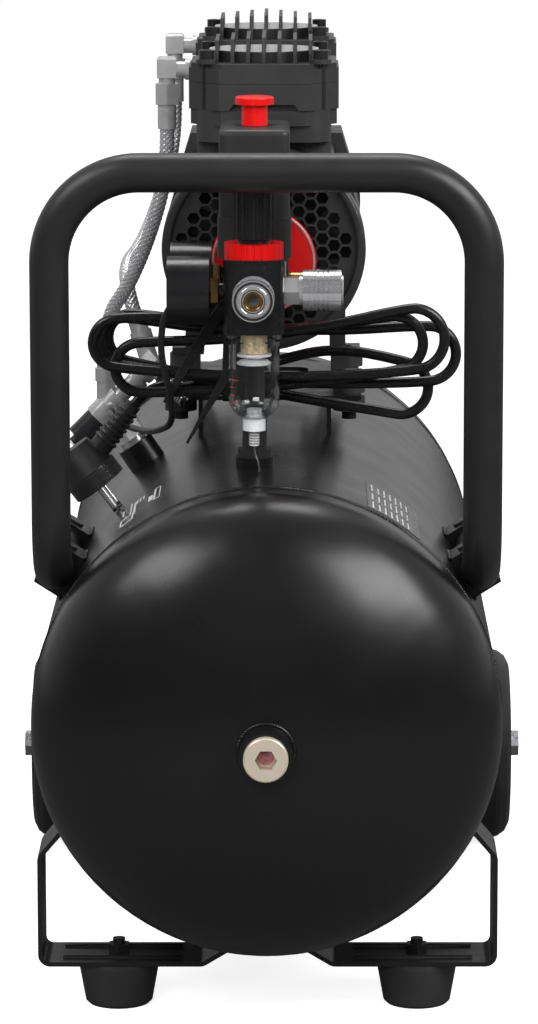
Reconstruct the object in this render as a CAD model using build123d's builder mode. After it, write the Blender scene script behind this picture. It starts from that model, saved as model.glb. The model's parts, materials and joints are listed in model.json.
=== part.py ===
"""Portable oil-free air compressor on a 50 litre horizontal tank.

Millimetres.  +Z is up, the front (filter regulator end) faces -Y, the origin is on the floor under
the middle of the tank.
"""
import os
from math import cos, pi, radians, sin, sqrt, tan

from build123d import *

os.makedirs("parts", exist_ok=True)

# ---------------------------------------------------------------- driving dimensions
TANK_R = 150.0          # outer radius of the air tank
AXIS_Z = 203.5          # tank axis above the floor
TANGENT_Y = 314.0       # where each dished end starts to curve in
SEAM_Y = 292.0          # welded seams between the shell and the heads
DISH = 75.0             # depth of the 2:1 dished ends
WALL = 3.0              # tank wall
PORT_FACE_Y = 413.0     # outer face of the end plugs

HANDLE_X = 137.5        # handle legs, either side of the middle
HANDLE_Y = -282.0
HANDLE_Z = 291.5        # height of the stretch that runs back along the tank
HANDLE_TOP_Z = 552.5
HANDLE_BACK_Y = -110.0
HANDLE_R = 12.5

FOOT_X = 98.0
FOOT_Y = -235.0
FOOT_H = 30.0
STRIP_W = 50.0          # width of the bracket strip
STRIP_T = 3.0           # its thickness

WHEEL_R = 70.5
WHEEL_Y = 218.0
WHEEL_IN_X = 141.0
WHEEL_OUT_X = 177.5

MOTOR_X = -3.0
MOTOR_Z = 485.0         # crankshaft height
MOTOR_Y = 38.0          # middle of the motor
CYLINDER_PITCH = 210.0  # distance between the two cylinders
FRONT_CYL_Y = MOTOR_Y - CYLINDER_PITCH / 2
REAR_CYL_Y = MOTOR_Y + CYLINDER_PITCH / 2
FAN_FACE = 163.0        # fan cover faces, in front of and behind the middle of the motor
DRUM_R = 66.0
CRANK_THROW = 7.0
BORE_R = 26.0
HEAD_W = 100.0          # width across the finned heads
DECK_Z = 576.4          # top of the cylinders
SPLIT_Z = 594.3         # top of the valve plates
RIM_Z = 606.9           # top of the head castings, under the fins

AIR_X = -8.4            # riser, switch and filter regulator share this line
AIR_Z = 472.6           # height of the air ports
RISER_Y = -207.0
REG_Y = -240.0
REG_W = 39.0
SWITCH_Y = -177.0
GAUGE_R = 22.2
GAUGE_Y = (REG_Y, -162.0)

CORD_R = 3.5
HOSE_R = 5.0
SCREW_HOLE_R = 3.1


# ---------------------------------------------------------------- shared shapes
def along(origin, direction, across=(0, 1, 0)):
    """A plane at origin whose normal points along direction."""
    return Plane(origin=origin, x_dir=across, z_dir=direction)


def turned(plane, steps, bore_r=0.0):
    """A stack of round steps, each (radius, length), from the plane along its normal."""
    with BuildPart() as piece:
        height = 0.0
        for radius, length in steps:
            with BuildSketch(plane.offset(height)):
                Circle(radius)
            extrude(amount=length)
            height += length
        if bore_r:
            with BuildSketch(plane):
                Circle(bore_r)
            extrude(amount=height, mode=Mode.SUBTRACT)
    return piece.part


def hexagon(plane, across_flats, length, bore_r=0.0):
    """A hexagon nut or bar with chamfered corners left square."""
    with BuildPart() as piece:
        with BuildSketch(plane):
            RegularPolygon(across_flats / 2, 6, major_radius=False)
            if bore_r:
                Circle(bore_r, mode=Mode.SUBTRACT)
        extrude(amount=length)
    return piece.part


def tank_volume(radius=TANK_R):
    """The solid cylinder of the tank, for trimming what is welded to it."""
    with BuildPart() as volume:
        with BuildSketch(Plane.XZ.offset(TANGENT_Y)):
            with Locations((0, AXIS_Z)):
                Circle(radius)
        extrude(amount=-2 * TANGENT_Y)
    return volume.part


def tube_path(points, factor=0.45):
    """Straight runs joined by the largest even arcs; returns the wire and its radii."""
    corners = [Vector(*point) for point in points]
    radii = []
    for before, here, after in zip(corners, corners[1:], corners[2:]):
        shorter = min((here - before).length, (after - here).length)
        half_turn = radians((here - before).get_angle(after - here)) / 2
        radii.append(factor * shorter / tan(half_turn))
    with BuildLine() as line:
        FilletPolyline(*points, radius=radii)
    return line.wire(), radii


def tube(points, outer_r, inner_r=0.0):
    """A round tube or cord along the path through the points."""
    wire, radii = tube_path(points)
    with BuildPart() as piece:
        with BuildSketch(Plane(origin=wire @ 0, z_dir=wire % 0)):
            Circle(outer_r)
            if inner_r:
                Circle(inner_r, mode=Mode.SUBTRACT)
        sweep(path=wire)
    section = pi * (outer_r**2 - inner_r**2)
    print(f"  tube r{outer_r}: length {wire.length:.0f} mm, radii",
          [round(radius) for radius in radii],
          f"volume ratio {piece.part.volume / (section * wire.length):.4f}")
    return piece.part


tank_solid = tank_volume()

# ---------------------------------------------------------------- air tank
with BuildPart() as tank_shell:
    with BuildSketch(Plane.XZ.offset(SEAM_Y)):
        with Locations((0, AXIS_Z)):
            Circle(TANK_R)
            Circle(TANK_R - WALL, mode=Mode.SUBTRACT)
    extrude(amount=-2 * SEAM_Y)
tank_shell.part.label = "tank_shell"
export_step(tank_shell.part, "parts/tank_shell.step")

BOSS_R = 17.0
with BuildPart() as tank_heads:
    with BuildSketch(Plane.YZ):
        with BuildLine():
            Line((-SEAM_Y, AXIS_Z + TANK_R), (-TANGENT_Y, AXIS_Z + TANK_R))
            EllipticalCenterArc((-TANGENT_Y, AXIS_Z), DISH, TANK_R, start_angle=90, arc_size=90)
            Line((-TANGENT_Y - DISH, AXIS_Z), (-TANGENT_Y - DISH + WALL, AXIS_Z))
            EllipticalCenterArc((-TANGENT_Y, AXIS_Z), DISH - WALL, TANK_R - WALL,
                                start_angle=90, arc_size=90)
            Line((-TANGENT_Y, AXIS_Z + TANK_R - WALL), (-SEAM_Y, AXIS_Z + TANK_R - WALL))
            Line((-SEAM_Y, AXIS_Z + TANK_R - WALL), (-SEAM_Y, AXIS_Z + TANK_R))
        make_face()
    revolve(axis=Axis((0, 0, AXIS_Z), (0, 1, 0)))
    with BuildSketch(Plane.XZ.offset(TANGENT_Y)):
        with Locations((0, AXIS_Z)):
            Circle(BOSS_R)
    extrude(amount=2 * DISH, mode=Mode.SUBTRACT)
    mirror(about=Plane.XZ)
tank_heads.part.label = "tank_heads"
export_step(tank_heads.part, "parts/tank_heads.step")

# weld-on fittings: two end bosses, riser flange, check valve boss, drain boss, four handle saddles
PLUG_HEAD = 6.0
VALVE_Y = -38.0
VALVE_AT = (-110.0, VALVE_Y, 366.0)
VALVE_REACH = sqrt(VALVE_AT[0] ** 2 + (VALVE_AT[2] - AXIS_Z) ** 2)
VALVE_OUT = (VALVE_AT[0] / VALVE_REACH, 0.0, (VALVE_AT[2] - AXIS_Z) / VALVE_REACH)
SADDLE_YS = (-226.0, -140.0)
SADDLE_L = 30.0
SADDLE_W = 30.0
BOLT_R = 4.0
saddle_reach = sqrt(HANDLE_X**2 + (HANDLE_Z - AXIS_Z) ** 2)
saddle_out = (HANDLE_X / saddle_reach, (HANDLE_Z - AXIS_Z) / saddle_reach)


def tank_normal_plane(reach, out, y):
    """A plane across the direction out = (x, z) from the tank axis, at a distance from it."""
    return along((reach * out[0], y, AXIS_Z + reach * out[1]), (out[0], 0, out[1]))


def end_boss(side):
    """Threaded boss in the middle of a dished end, on the -Y side for side = -1."""
    face = PORT_FACE_Y - PLUG_HEAD
    plane = along((0, side * face, AXIS_Z), (0, -side, 0), across=(1, 0, 0))
    return turned(plane, [(BOSS_R - 1.0, 1.0), (BOSS_R, 24.0)], bore_r=10.1)


def handle_saddle(y):
    """Welded U-shaped saddle that one leg of the handle is bolted into, on the +X side."""
    plane = Plane(origin=(HANDLE_X, y - SADDLE_L / 2, HANDLE_Z),
                  x_dir=(-saddle_out[1], 0, saddle_out[0]), z_dir=(0, 1, 0))
    with BuildPart() as saddle:
        with BuildSketch(plane):
            with Locations((0, -5.0)):
                Rectangle(SADDLE_W, 24.0)
            Circle(HANDLE_R + 0.05, mode=Mode.SUBTRACT)
            with Locations((0, 10.0)):
                Rectangle(2 * HANDLE_R + 0.1, 20.0, mode=Mode.SUBTRACT)
        extrude(amount=SADDLE_L)
        with BuildSketch(along((HANDLE_X, y, HANDLE_Z), (-saddle_out[1], 0, saddle_out[0]))):
            Circle(BOLT_R + 0.2)
        extrude(amount=SADDLE_W, both=True, mode=Mode.SUBTRACT)
        add(tank_solid, mode=Mode.SUBTRACT)
    return saddle.part


end_bosses = [end_boss(side) for side in (-1, 1)]
saddles = [handle_saddle(y) for y in SADDLE_YS]
riser_flange = turned(along((AIR_X, RISER_Y, AXIS_Z + TANK_R - 6.0), (0, 0, 1)), [(12.5, 12.0)],
                      bore_r=6.0)
valve_boss = turned(tank_normal_plane(TANK_R - 8, (VALVE_OUT[0], VALVE_OUT[2]), VALVE_Y), [(13.0, 24.0)])
drain_boss = turned(along((0, 0, AXIS_Z - TANK_R + 4.0), (0, 0, -1)), [(12.0, 10.0)], bore_r=5.0)
with BuildPart() as tank_weld_fittings:
    add(saddles)
    mirror(about=Plane.YZ)
    add([riser_flange, valve_boss, drain_boss])
    add(tank_solid, mode=Mode.SUBTRACT)
    add(end_bosses)
tank_weld_fittings.part.label = "tank_weld_fittings"
export_step(tank_weld_fittings.part, "parts/tank_weld_fittings.step")


def port_plug(side):
    """Zinc-plated plug with a hexagon socket, screwed into an end boss."""
    plane = along((0, side * PORT_FACE_Y, AXIS_Z), (0, -side, 0), across=(1, 0, 0))
    with BuildPart() as plug:
        with BuildSketch(plane):
            Circle(14.0)
        extrude(amount=PLUG_HEAD)
        chamfer(plug.edges().group_by(Axis.Y)[0 if side < 0 else -1], 0.8)
        with BuildSketch(plane.offset(PLUG_HEAD)):
            Circle(10.0)
        extrude(amount=14.0)
        with BuildSketch(plane):
            RegularPolygon(6.0, 6, major_radius=False)
        extrude(amount=10.0, mode=Mode.SUBTRACT)
    return plug.part


port_plugs = [port_plug(side) for side in (-1, 1)]
with BuildPart() as tank_port_plugs:
    add(port_plugs)
tank_port_plugs.part.label = "tank_port_plugs"
export_step(tank_port_plugs.part, "parts/tank_port_plugs.step")

# ---------------------------------------------------------------- handle
with BuildPart() as handle_tube:
    with BuildLine() as handle_line:
        FilletPolyline(
            (HANDLE_X, HANDLE_BACK_Y, HANDLE_Z),
            (HANDLE_X, HANDLE_Y, HANDLE_Z),
            (HANDLE_X, HANDLE_Y, HANDLE_TOP_Z),
            (-HANDLE_X, HANDLE_Y, HANDLE_TOP_Z),
            (-HANDLE_X, HANDLE_Y, HANDLE_Z),
            (-HANDLE_X, HANDLE_BACK_Y, HANDLE_Z),
            radius=[38.0, 57.0, 57.0, 38.0],
        )
    with BuildSketch(Plane.XZ.offset(-HANDLE_BACK_Y)):
        with Locations((HANDLE_X, HANDLE_Z)):
            Circle(HANDLE_R)
            Circle(HANDLE_R - 2.0, mode=Mode.SUBTRACT)
    sweep(path=handle_line.wire())
    for side in (-1, 1):
        for saddle_y in SADDLE_YS:
            with BuildSketch(along((side * HANDLE_X, saddle_y, HANDLE_Z),
                                   (-side * saddle_out[1], 0, saddle_out[0]))):
                Circle(BOLT_R + 0.2)
            extrude(amount=HANDLE_R + 3, both=True, mode=Mode.SUBTRACT)
handle_tube.part.label = "handle_tube"
export_step(handle_tube.part, "parts/handle_tube.step")

# ---------------------------------------------------------------- feet
BRACKET_X = 150.0       # outer face of the front brackets


def foot_bracket():
    """Right-hand front foot: a bent strip from the tank's side down and back in under it."""
    with BuildPart() as bracket:
        with BuildSketch(Plane.XZ.offset(-FOOT_Y - STRIP_W / 2 + STRIP_W)):
            with BuildLine():
                FilletPolyline((4.0, 52.8), (42.0, FOOT_H), (BRACKET_X, FOOT_H),
                               (BRACKET_X, 103.9), (118.0, 141.5), radius=8.0)
                offset(amount=STRIP_T, side=Side.LEFT)
            make_face()
        extrude(amount=-STRIP_W)
        for rib_y in (FOOT_Y - 14.0, FOOT_Y + 14.0):
            with BuildSketch(Plane.YZ.offset(56.0)):
                with Locations((rib_y, FOOT_H + STRIP_T - 0.6)):
                    Circle(2.6)
                    with Locations((0, -5.0)):
                        Rectangle(12.0, 10.0, mode=Mode.SUBTRACT)
            extrude(amount=78.0)
        with BuildSketch(Plane.XY.offset(FOOT_H)):
            with Locations((FOOT_X, FOOT_Y)):
                Circle(BOLT_R + 0.2)
        extrude(amount=10.0, mode=Mode.SUBTRACT)
        add(tank_solid, mode=Mode.SUBTRACT)
    return bracket.part


right_bracket = foot_bracket()
with BuildPart() as right_foot_bracket:
    add(right_bracket)
right_foot_bracket.part.label = "right_foot_bracket"
export_step(right_foot_bracket.part, "parts/right_foot_bracket.step")

with BuildPart() as left_foot_bracket:
    add(mirror(right_bracket, about=Plane.YZ, mode=Mode.PRIVATE))
left_foot_bracket.part.label = "left_foot_bracket"
export_step(left_foot_bracket.part, "parts/left_foot_bracket.step")

with BuildPart() as rubber_feet:
    with BuildSketch(Plane.XZ.offset(-FOOT_Y)):
        with BuildLine():
            Polyline((FOOT_X + 4.3, FOOT_H), (FOOT_X + 26.5, FOOT_H), (FOOT_X + 26.5, FOOT_H - 3),
                     (FOOT_X + 22.0, 2.0), (FOOT_X + 20.0, 0.0), (FOOT_X + 11.0, 0.0),
                     (FOOT_X + 11.0, 14.0), (FOOT_X + 4.3, 14.0), (FOOT_X + 4.3, FOOT_H))
        make_face()
    revolve(axis=Axis((FOOT_X, FOOT_Y, 0), (0, 0, 1)))
    mirror(about=Plane.YZ)
rubber_feet.part.label = "rubber_feet"
export_step(rubber_feet.part, "parts/rubber_feet.step")


def m8_bolt(plane, grip):
    """M8 hexagon bolt: head behind the plane, nut beyond the grip."""
    head = hexagon(plane.offset(-5.3), 13.0, 5.3)
    shank = turned(plane, [(BOLT_R, grip + 10.0)])
    nut = hexagon(plane.offset(grip), 13.0, 6.5, bore_r=BOLT_R)
    return [head.fuse(shank), nut]


def saddle_rivet(plane):
    """Solid rivet through a saddle and the handle leg in it, its flat heads outside the saddle."""
    return turned(plane.offset(-1.5), [(6.5, 1.5), (BOLT_R, SADDLE_W), (6.5, 1.5)])


frame_bolt_parts = []
for side in (-1, 1):
    frame_bolt_parts += m8_bolt(along((side * FOOT_X, FOOT_Y, 14.0), (0, 0, 1)), FOOT_H + STRIP_T - 14.0)
    for saddle_y in SADDLE_YS:
        start = (side * (HANDLE_X - saddle_out[1] * SADDLE_W / 2), saddle_y,
                 HANDLE_Z + saddle_out[0] * SADDLE_W / 2)
        frame_bolt_parts.append(saddle_rivet(along(start, (side * saddle_out[1], 0, -saddle_out[0]))))
with BuildPart() as frame_bolts:
    add(frame_bolt_parts)
frame_bolts.part.label = "frame_bolts"
export_step(frame_bolts.part, "parts/frame_bolts.step")

# ---------------------------------------------------------------- wheels
WHEEL_BRACKET_X = 138.0
AXLE_R = 5.0
with BuildPart() as rear_wheel_bracket:
    with BuildSketch(Plane.XZ.offset(-WHEEL_Y + STRIP_W / 2)):
        with BuildLine():
            cross_z = AXIS_Z - TANK_R - STRIP_T
            FilletPolyline((-112.0, 143.0), (-WHEEL_BRACKET_X, 112.0), (-WHEEL_BRACKET_X, cross_z),
                           (WHEEL_BRACKET_X, cross_z), (WHEEL_BRACKET_X, 112.0), (112.0, 143.0), radius=8.0)
            offset(amount=STRIP_T, side=Side.LEFT)
        make_face()
    extrude(amount=-STRIP_W)
    with BuildSketch(Plane.YZ.offset(-WHEEL_BRACKET_X - 5)):
        with Locations((WHEEL_Y, WHEEL_R)):
            Circle(AXLE_R + 0.1)
    extrude(amount=2 * WHEEL_BRACKET_X + 10, mode=Mode.SUBTRACT)
    add(tank_solid, mode=Mode.SUBTRACT)
rear_wheel_bracket.part.label = "rear_wheel_bracket"
export_step(rear_wheel_bracket.part, "parts/rear_wheel_bracket.step")


def wheel():
    """Moulded wheel on the +X side: ribbed web, rounded tread, hub with a running bore."""
    with BuildPart() as body:
        with BuildSketch(Plane.XY):
            with BuildLine():
                Polyline((WHEEL_IN_X, AXLE_R + 0.06), (WHEEL_OUT_X, AXLE_R + 0.06), (WHEEL_OUT_X, 17.0),
                         (WHEEL_OUT_X - 8, 20.0), (WHEEL_OUT_X - 8, 50.0), (WHEEL_OUT_X - 1, 54.0),
                         (WHEEL_OUT_X, 60.0), (WHEEL_OUT_X - 3, 66.0), (WHEEL_OUT_X - 8, 69.6),
                         (WHEEL_OUT_X - 11, WHEEL_R), (WHEEL_IN_X + 11, WHEEL_R), (WHEEL_IN_X + 8, 69.6),
                         (WHEEL_IN_X + 3, 66.0), (WHEEL_IN_X, 60.0), (WHEEL_IN_X + 1, 54.0),
                         (WHEEL_IN_X + 12, 50.0), (WHEEL_IN_X + 12, 20.0), (WHEEL_IN_X, 17.0),
                         (WHEEL_IN_X, AXLE_R + 0.06))
            make_face()
        revolve(axis=Axis.X)
        with BuildSketch(Plane.YZ.offset(WHEEL_OUT_X - 8)):
            with PolarLocations(35.0, 8):
                Rectangle(32.0, 3.0)
        extrude(amount=5.0)
        with BuildSketch(Plane.YZ.offset(WHEEL_IN_X)):
            with PolarLocations(35.0, 8, start_angle=22.5):
                Circle(7.0)
        extrude(amount=WHEEL_OUT_X, mode=Mode.SUBTRACT)
    return body.part.moved(Location((0, WHEEL_Y, WHEEL_R)))


right_wheel_body = wheel()
with BuildPart() as right_wheel:
    add(right_wheel_body)
right_wheel.part.label = "right_wheel"
export_step(right_wheel.part, "parts/right_wheel.step")

with BuildPart() as left_wheel:
    add(mirror(right_wheel_body, about=Plane.YZ, mode=Mode.PRIVATE))
left_wheel.part.label = "left_wheel"
export_step(left_wheel.part, "parts/left_wheel.step")

axle_parts = []
for side in (-1, 1):
    head_plane = along((side * (WHEEL_OUT_X + 2.3), WHEEL_Y, WHEEL_R), (side, 0, 0))
    axle_parts.append(hexagon(head_plane, 17.0, 5.5))
    inward = along((side * (WHEEL_OUT_X + 2.3), WHEEL_Y, WHEEL_R), (-side, 0, 0))
    washer = turned(inward, [(10.0, 2.0)])
    shank = turned(inward, [(AXLE_R, 56.0)])
    spacer = turned(along((side * WHEEL_BRACKET_X, WHEEL_Y, WHEEL_R), (side, 0, 0)), [(9.0, 2.7)])
    axle_parts[-1] = axle_parts[-1].fuse(washer, shank, spacer)
    axle_parts.append(hexagon(along((side * (WHEEL_BRACKET_X - STRIP_T), WHEEL_Y, WHEEL_R), (-side, 0, 0)),
                              17.0, 8.0, bore_r=AXLE_R))
with BuildPart() as axle_bolts:
    add(axle_parts)
axle_bolts.part.label = "axle_bolts"
export_step(axle_bolts.part, "parts/axle_bolts.step")

# ---------------------------------------------------------------- tank drain
DRAIN_TOP_Z = AXIS_Z - TANK_R - 6.0
drain_body = turned(along((0, 0, DRAIN_TOP_Z), (0, 0, -1)), [(8.5, 8.0), (5.5, 4.0)], bore_r=2.6)
drain_stem = turned(along((0, 0, DRAIN_TOP_Z), (0, 0, 1)), [(4.9, 6.0)], bore_r=2.6)
with BuildPart() as drain_valve_body:
    add(drain_body)
    add(drain_stem)
drain_valve_body.part.label = "drain_valve_body"
export_step(drain_valve_body.part, "parts/drain_valve_body.step")

with BuildPart() as drain_valve_screw:
    with BuildSketch(Plane.XY.offset(DRAIN_TOP_Z - 12.5)):
        Circle(6.0)
        Rectangle(24.0, 4.0)
    extrude(amount=-9.0)
    with BuildSketch(Plane.XY.offset(DRAIN_TOP_Z - 12.5)):
        Circle(2.5)
    extrude(amount=10.0)
drain_valve_screw.part.label = "drain_valve_screw"
export_step(drain_valve_screw.part, "parts/drain_valve_screw.step")

# ---------------------------------------------------------------- motor saddle and mounts
SADDLE_TOP_Z = 374.5
SADDLE_FRONT_Y = -45.0
SADDLE_BACK_Y = 2 * MOTOR_Y - SADDLE_FRONT_Y
MOUNT_X = 58.0
MOUNT_YS = (SADDLE_FRONT_Y + 20.0, SADDLE_BACK_Y - 20.0)
mount_spots = [(MOTOR_X + side * MOUNT_X, y) for side in (-1, 1) for y in MOUNT_YS]
with BuildPart() as motor_saddle:
    with BuildSketch(Plane.XZ.offset(-SADDLE_FRONT_Y)):
        with Locations((MOTOR_X, SADDLE_TOP_Z - STRIP_T / 2)):
            Rectangle(2 * 66.0, STRIP_T)
        for side in (-1, 1):
            with Locations((MOTOR_X + side * 44.0, SADDLE_TOP_Z - 25.0)):
                Rectangle(STRIP_T, 50.0)
    extrude(amount=-(SADDLE_BACK_Y - SADDLE_FRONT_Y))
    with BuildSketch(Plane.XY.offset(SADDLE_TOP_Z)):
        with Locations(*mount_spots):
            Circle(7.0)
        with Locations((MOTOR_X, MOTOR_Y)):
            RectangleRounded(60.0, 110.0, 10.0)
    extrude(amount=-5.0, mode=Mode.SUBTRACT)
    add(tank_solid, mode=Mode.SUBTRACT)
motor_saddle.part.label = "motor_saddle"
export_step(motor_saddle.part, "parts/motor_saddle.step")

GROMMET_H = 9.5
grommets = [
    turned(along((x, y, SADDLE_TOP_Z - STRIP_T - GROMMET_H), (0, 0, 1)),
           [(11.0, GROMMET_H), (7.0, STRIP_T), (11.0, GROMMET_H)], bore_r=SCREW_HOLE_R)
    for x, y in mount_spots
]
with BuildPart() as vibration_mounts:
    add(grommets)
vibration_mounts.part.label = "vibration_mounts"
export_step(vibration_mounts.part, "parts/vibration_mounts.step")

# ---------------------------------------------------------------- motor and crankcases
CASE_HALF = 30.0
CASE_TOP_Z = 540.0
DRUM_WALL = 6.0
BEARING_R = 17.5
FOOT_Z = SADDLE_TOP_Z + GROMMET_H
HOUSING_FRONT_Y = FRONT_CYL_Y + CASE_HALF
HOUSING_BACK_Y = REAR_CYL_Y - CASE_HALF
motor_axis = Axis((MOTOR_X, 0, MOTOR_Z), (0, 1, 0))

with BuildPart() as motor_housing:
    with BuildSketch(Plane.XZ.offset(-HOUSING_FRONT_Y)):
        with Locations((MOTOR_X, MOTOR_Z)):
            Circle(DRUM_R - 3.0)
            with PolarLocations(DRUM_R - 2.5, 40):
                Rectangle(6.0, 2.6)
            Circle(DRUM_R - DRUM_WALL, mode=Mode.SUBTRACT)
    extrude(amount=-(HOUSING_BACK_Y - HOUSING_FRONT_Y))
    for foot_x, foot_y in mount_spots:
        with BuildSketch(Plane.XY.offset(FOOT_Z)):
            with Locations((foot_x, foot_y)):
                Rectangle(18.0, 24.0)
        extrude(amount=5.0)
        with BuildSketch(Plane.XY.offset(FOOT_Z)):
            with Locations((foot_x * 0.86, foot_y)):
                Rectangle(10.0, 24.0)
        extrude(amount=72.0)
    with BuildSketch(Plane.XZ.offset(-HOUSING_FRONT_Y)):
        with Locations((MOTOR_X, MOTOR_Z)):
            Circle(DRUM_R - DRUM_WALL)
    extrude(amount=-(HOUSING_BACK_Y - HOUSING_FRONT_Y), mode=Mode.SUBTRACT)
    with BuildSketch(Plane.XY.offset(FOOT_Z)):
        with Locations(*mount_spots):
            Circle(SCREW_HOLE_R)
    extrude(amount=5.0, mode=Mode.SUBTRACT)
motor_housing.part.label = "motor_housing"
export_step(motor_housing.part, "parts/motor_housing.step")

STATOR_L = 60.0
with BuildPart() as stator_core:
    with BuildSketch(Plane.XZ.offset(-MOTOR_Y + STATOR_L / 2)):
        with Locations((MOTOR_X, MOTOR_Z)):
            Circle(DRUM_R - DRUM_WALL)
            Circle(34.0, mode=Mode.SUBTRACT)
            with PolarLocations(41.0, 24):
                SlotCenterToCenter(9.0, 3.5, mode=Mode.SUBTRACT)
    extrude(amount=-STATOR_L)
stator_core.part.label = "stator_core"
export_step(stator_core.part, "parts/stator_core.step")


def crankcase():
    """Front crankcase: a drum with square shoulders, closed by a bearing wall at its fan end."""
    front_y = FRONT_CYL_Y - CASE_HALF
    with BuildPart() as case:
        with BuildSketch(Plane.XZ.offset(-front_y)):
            with Locations((MOTOR_X, MOTOR_Z)):
                Circle(DRUM_R)
            with BuildLine():
                Polyline((MOTOR_X - 60, MOTOR_Z - 4), (MOTOR_X - 64, MOTOR_Z + 22),
                         (MOTOR_X - 54, CASE_TOP_Z), (MOTOR_X + 54, CASE_TOP_Z),
                         (MOTOR_X + 64, MOTOR_Z + 22), (MOTOR_X + 60, MOTOR_Z - 4), close=True)
            make_face()
            with Locations((MOTOR_X, CASE_TOP_Z + DRUM_R / 2)):
                Rectangle(2 * DRUM_R, DRUM_R, mode=Mode.SUBTRACT)
        extrude(amount=-2 * CASE_HALF)
        with BuildSketch(Plane.XZ.offset(-front_y - 9.0)):
            with Locations((MOTOR_X, MOTOR_Z)):
                Circle(DRUM_R - DRUM_WALL)
        extrude(amount=-2 * CASE_HALF, mode=Mode.SUBTRACT)
        with BuildSketch(Plane.XZ.offset(-front_y)):
            with Locations((MOTOR_X, MOTOR_Z)):
                Circle(BEARING_R)
        extrude(amount=-9.0, mode=Mode.SUBTRACT)
        with BuildSketch(Plane.XY.offset(MOTOR_Z)):
            with Locations((MOTOR_X, FRONT_CYL_Y)):
                Circle(BORE_R)
        extrude(amount=CASE_TOP_Z - MOTOR_Z, mode=Mode.SUBTRACT)
    return case.part


mid_plane = Plane.XZ.offset(-MOTOR_Y)
front_case = crankcase()
with BuildPart() as crankcases:
    add(front_case)
    mirror(about=mid_plane)
crankcases.part.label = "crankcases"
export_step(crankcases.part, "parts/crankcases.step")

bearing_face = FRONT_CYL_Y - CASE_HALF
front_bearing = turned(along((MOTOR_X, bearing_face, MOTOR_Z), (0, 1, 0), across=(1, 0, 0)),
                       [(BEARING_R, 9.0)], bore_r=7.53)
with BuildPart() as shaft_bearings:
    add(front_bearing)
    mirror(about=mid_plane)
shaft_bearings.part.label = "shaft_bearings"
export_step(shaft_bearings.part, "parts/shaft_bearings.step")

# ---------------------------------------------------------------- cylinders and heads
SCREW_OFF = 38.0
CORNER = 20.4


def octagon(width):
    """Square with its corners cut off, as a sketch outline centred on a cylinder."""
    half = width / 2
    cut = half - CORNER
    return [(half, -cut), (half, cut), (cut, half), (-cut, half),
            (-half, cut), (-half, -cut), (-cut, -half), (cut, -half)]


def head_screw_spots(y):
    """Centres of the four screws of one head."""
    return [(MOTOR_X + i * SCREW_OFF, y + j * SCREW_OFF) for i in (-1, 1) for j in (-1, 1)]


JACKET_W = 90.0
JACKET_Z = 555.0        # the square jacket overhangs the fan cover and the motor from here up
with BuildPart() as cylinders:
    with BuildSketch(Plane.XY.offset(CASE_TOP_Z)):
        with Locations((MOTOR_X, FRONT_CYL_Y)):
            RectangleRounded(JACKET_W, 2 * CASE_HALF - 2.0, 8.0)
    extrude(amount=DECK_Z - CASE_TOP_Z)
    with BuildSketch(Plane.XY.offset(JACKET_Z)):
        with Locations((MOTOR_X, FRONT_CYL_Y)):
            RectangleRounded(JACKET_W, JACKET_W, 16.0)
    extrude(amount=DECK_Z - JACKET_Z)
    with BuildSketch(Plane.XY.offset(DECK_Z - 10.2)):
        with Locations((MOTOR_X, FRONT_CYL_Y)):
            Polygon(*octagon(HEAD_W - 2.4), align=None)
    extrude(amount=10.2)
    with BuildSketch(Plane.XY.offset(CASE_TOP_Z)):
        with Locations((MOTOR_X, FRONT_CYL_Y)):
            Circle(BORE_R)
    extrude(amount=DECK_Z - CASE_TOP_Z, mode=Mode.SUBTRACT)
    with BuildSketch(Plane.XY.offset(DECK_Z)):
        with Locations(*head_screw_spots(FRONT_CYL_Y)):
            Circle(SCREW_HOLE_R)
    extrude(amount=-14.0, mode=Mode.SUBTRACT)
    mirror(about=mid_plane)
cylinders.part.label = "cylinders"
export_step(cylinders.part, "parts/cylinders.step")

with BuildPart() as valve_plates:
    with BuildSketch(Plane.XY.offset(DECK_Z)):
        with Locations((MOTOR_X, FRONT_CYL_Y)):
            Polygon(*octagon(HEAD_W), align=None)
    extrude(amount=SPLIT_Z - DECK_Z - 0.2)
    with BuildSketch(Plane.XZ.offset(-FRONT_CYL_Y + HEAD_W / 2)):
        with Locations((MOTOR_X, DECK_Z)):
            Polygon((-23.0, 0), (-20.5, 4.0), (20.5, 4.0), (23.0, 0), align=None)
    extrude(amount=-5.0, mode=Mode.SUBTRACT)
    with BuildSketch(Plane.XY.offset(DECK_Z)):
        with Locations(*head_screw_spots(FRONT_CYL_Y)):
            Circle(SCREW_HOLE_R)
        with Locations((MOTOR_X - 12, FRONT_CYL_Y), (MOTOR_X + 12, FRONT_CYL_Y)):
            Circle(4.0)
    extrude(amount=20.0, mode=Mode.SUBTRACT)
    mirror(about=mid_plane)
valve_plates.part.label = "valve_plates"
export_step(valve_plates.part, "parts/valve_plates.step")

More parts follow.
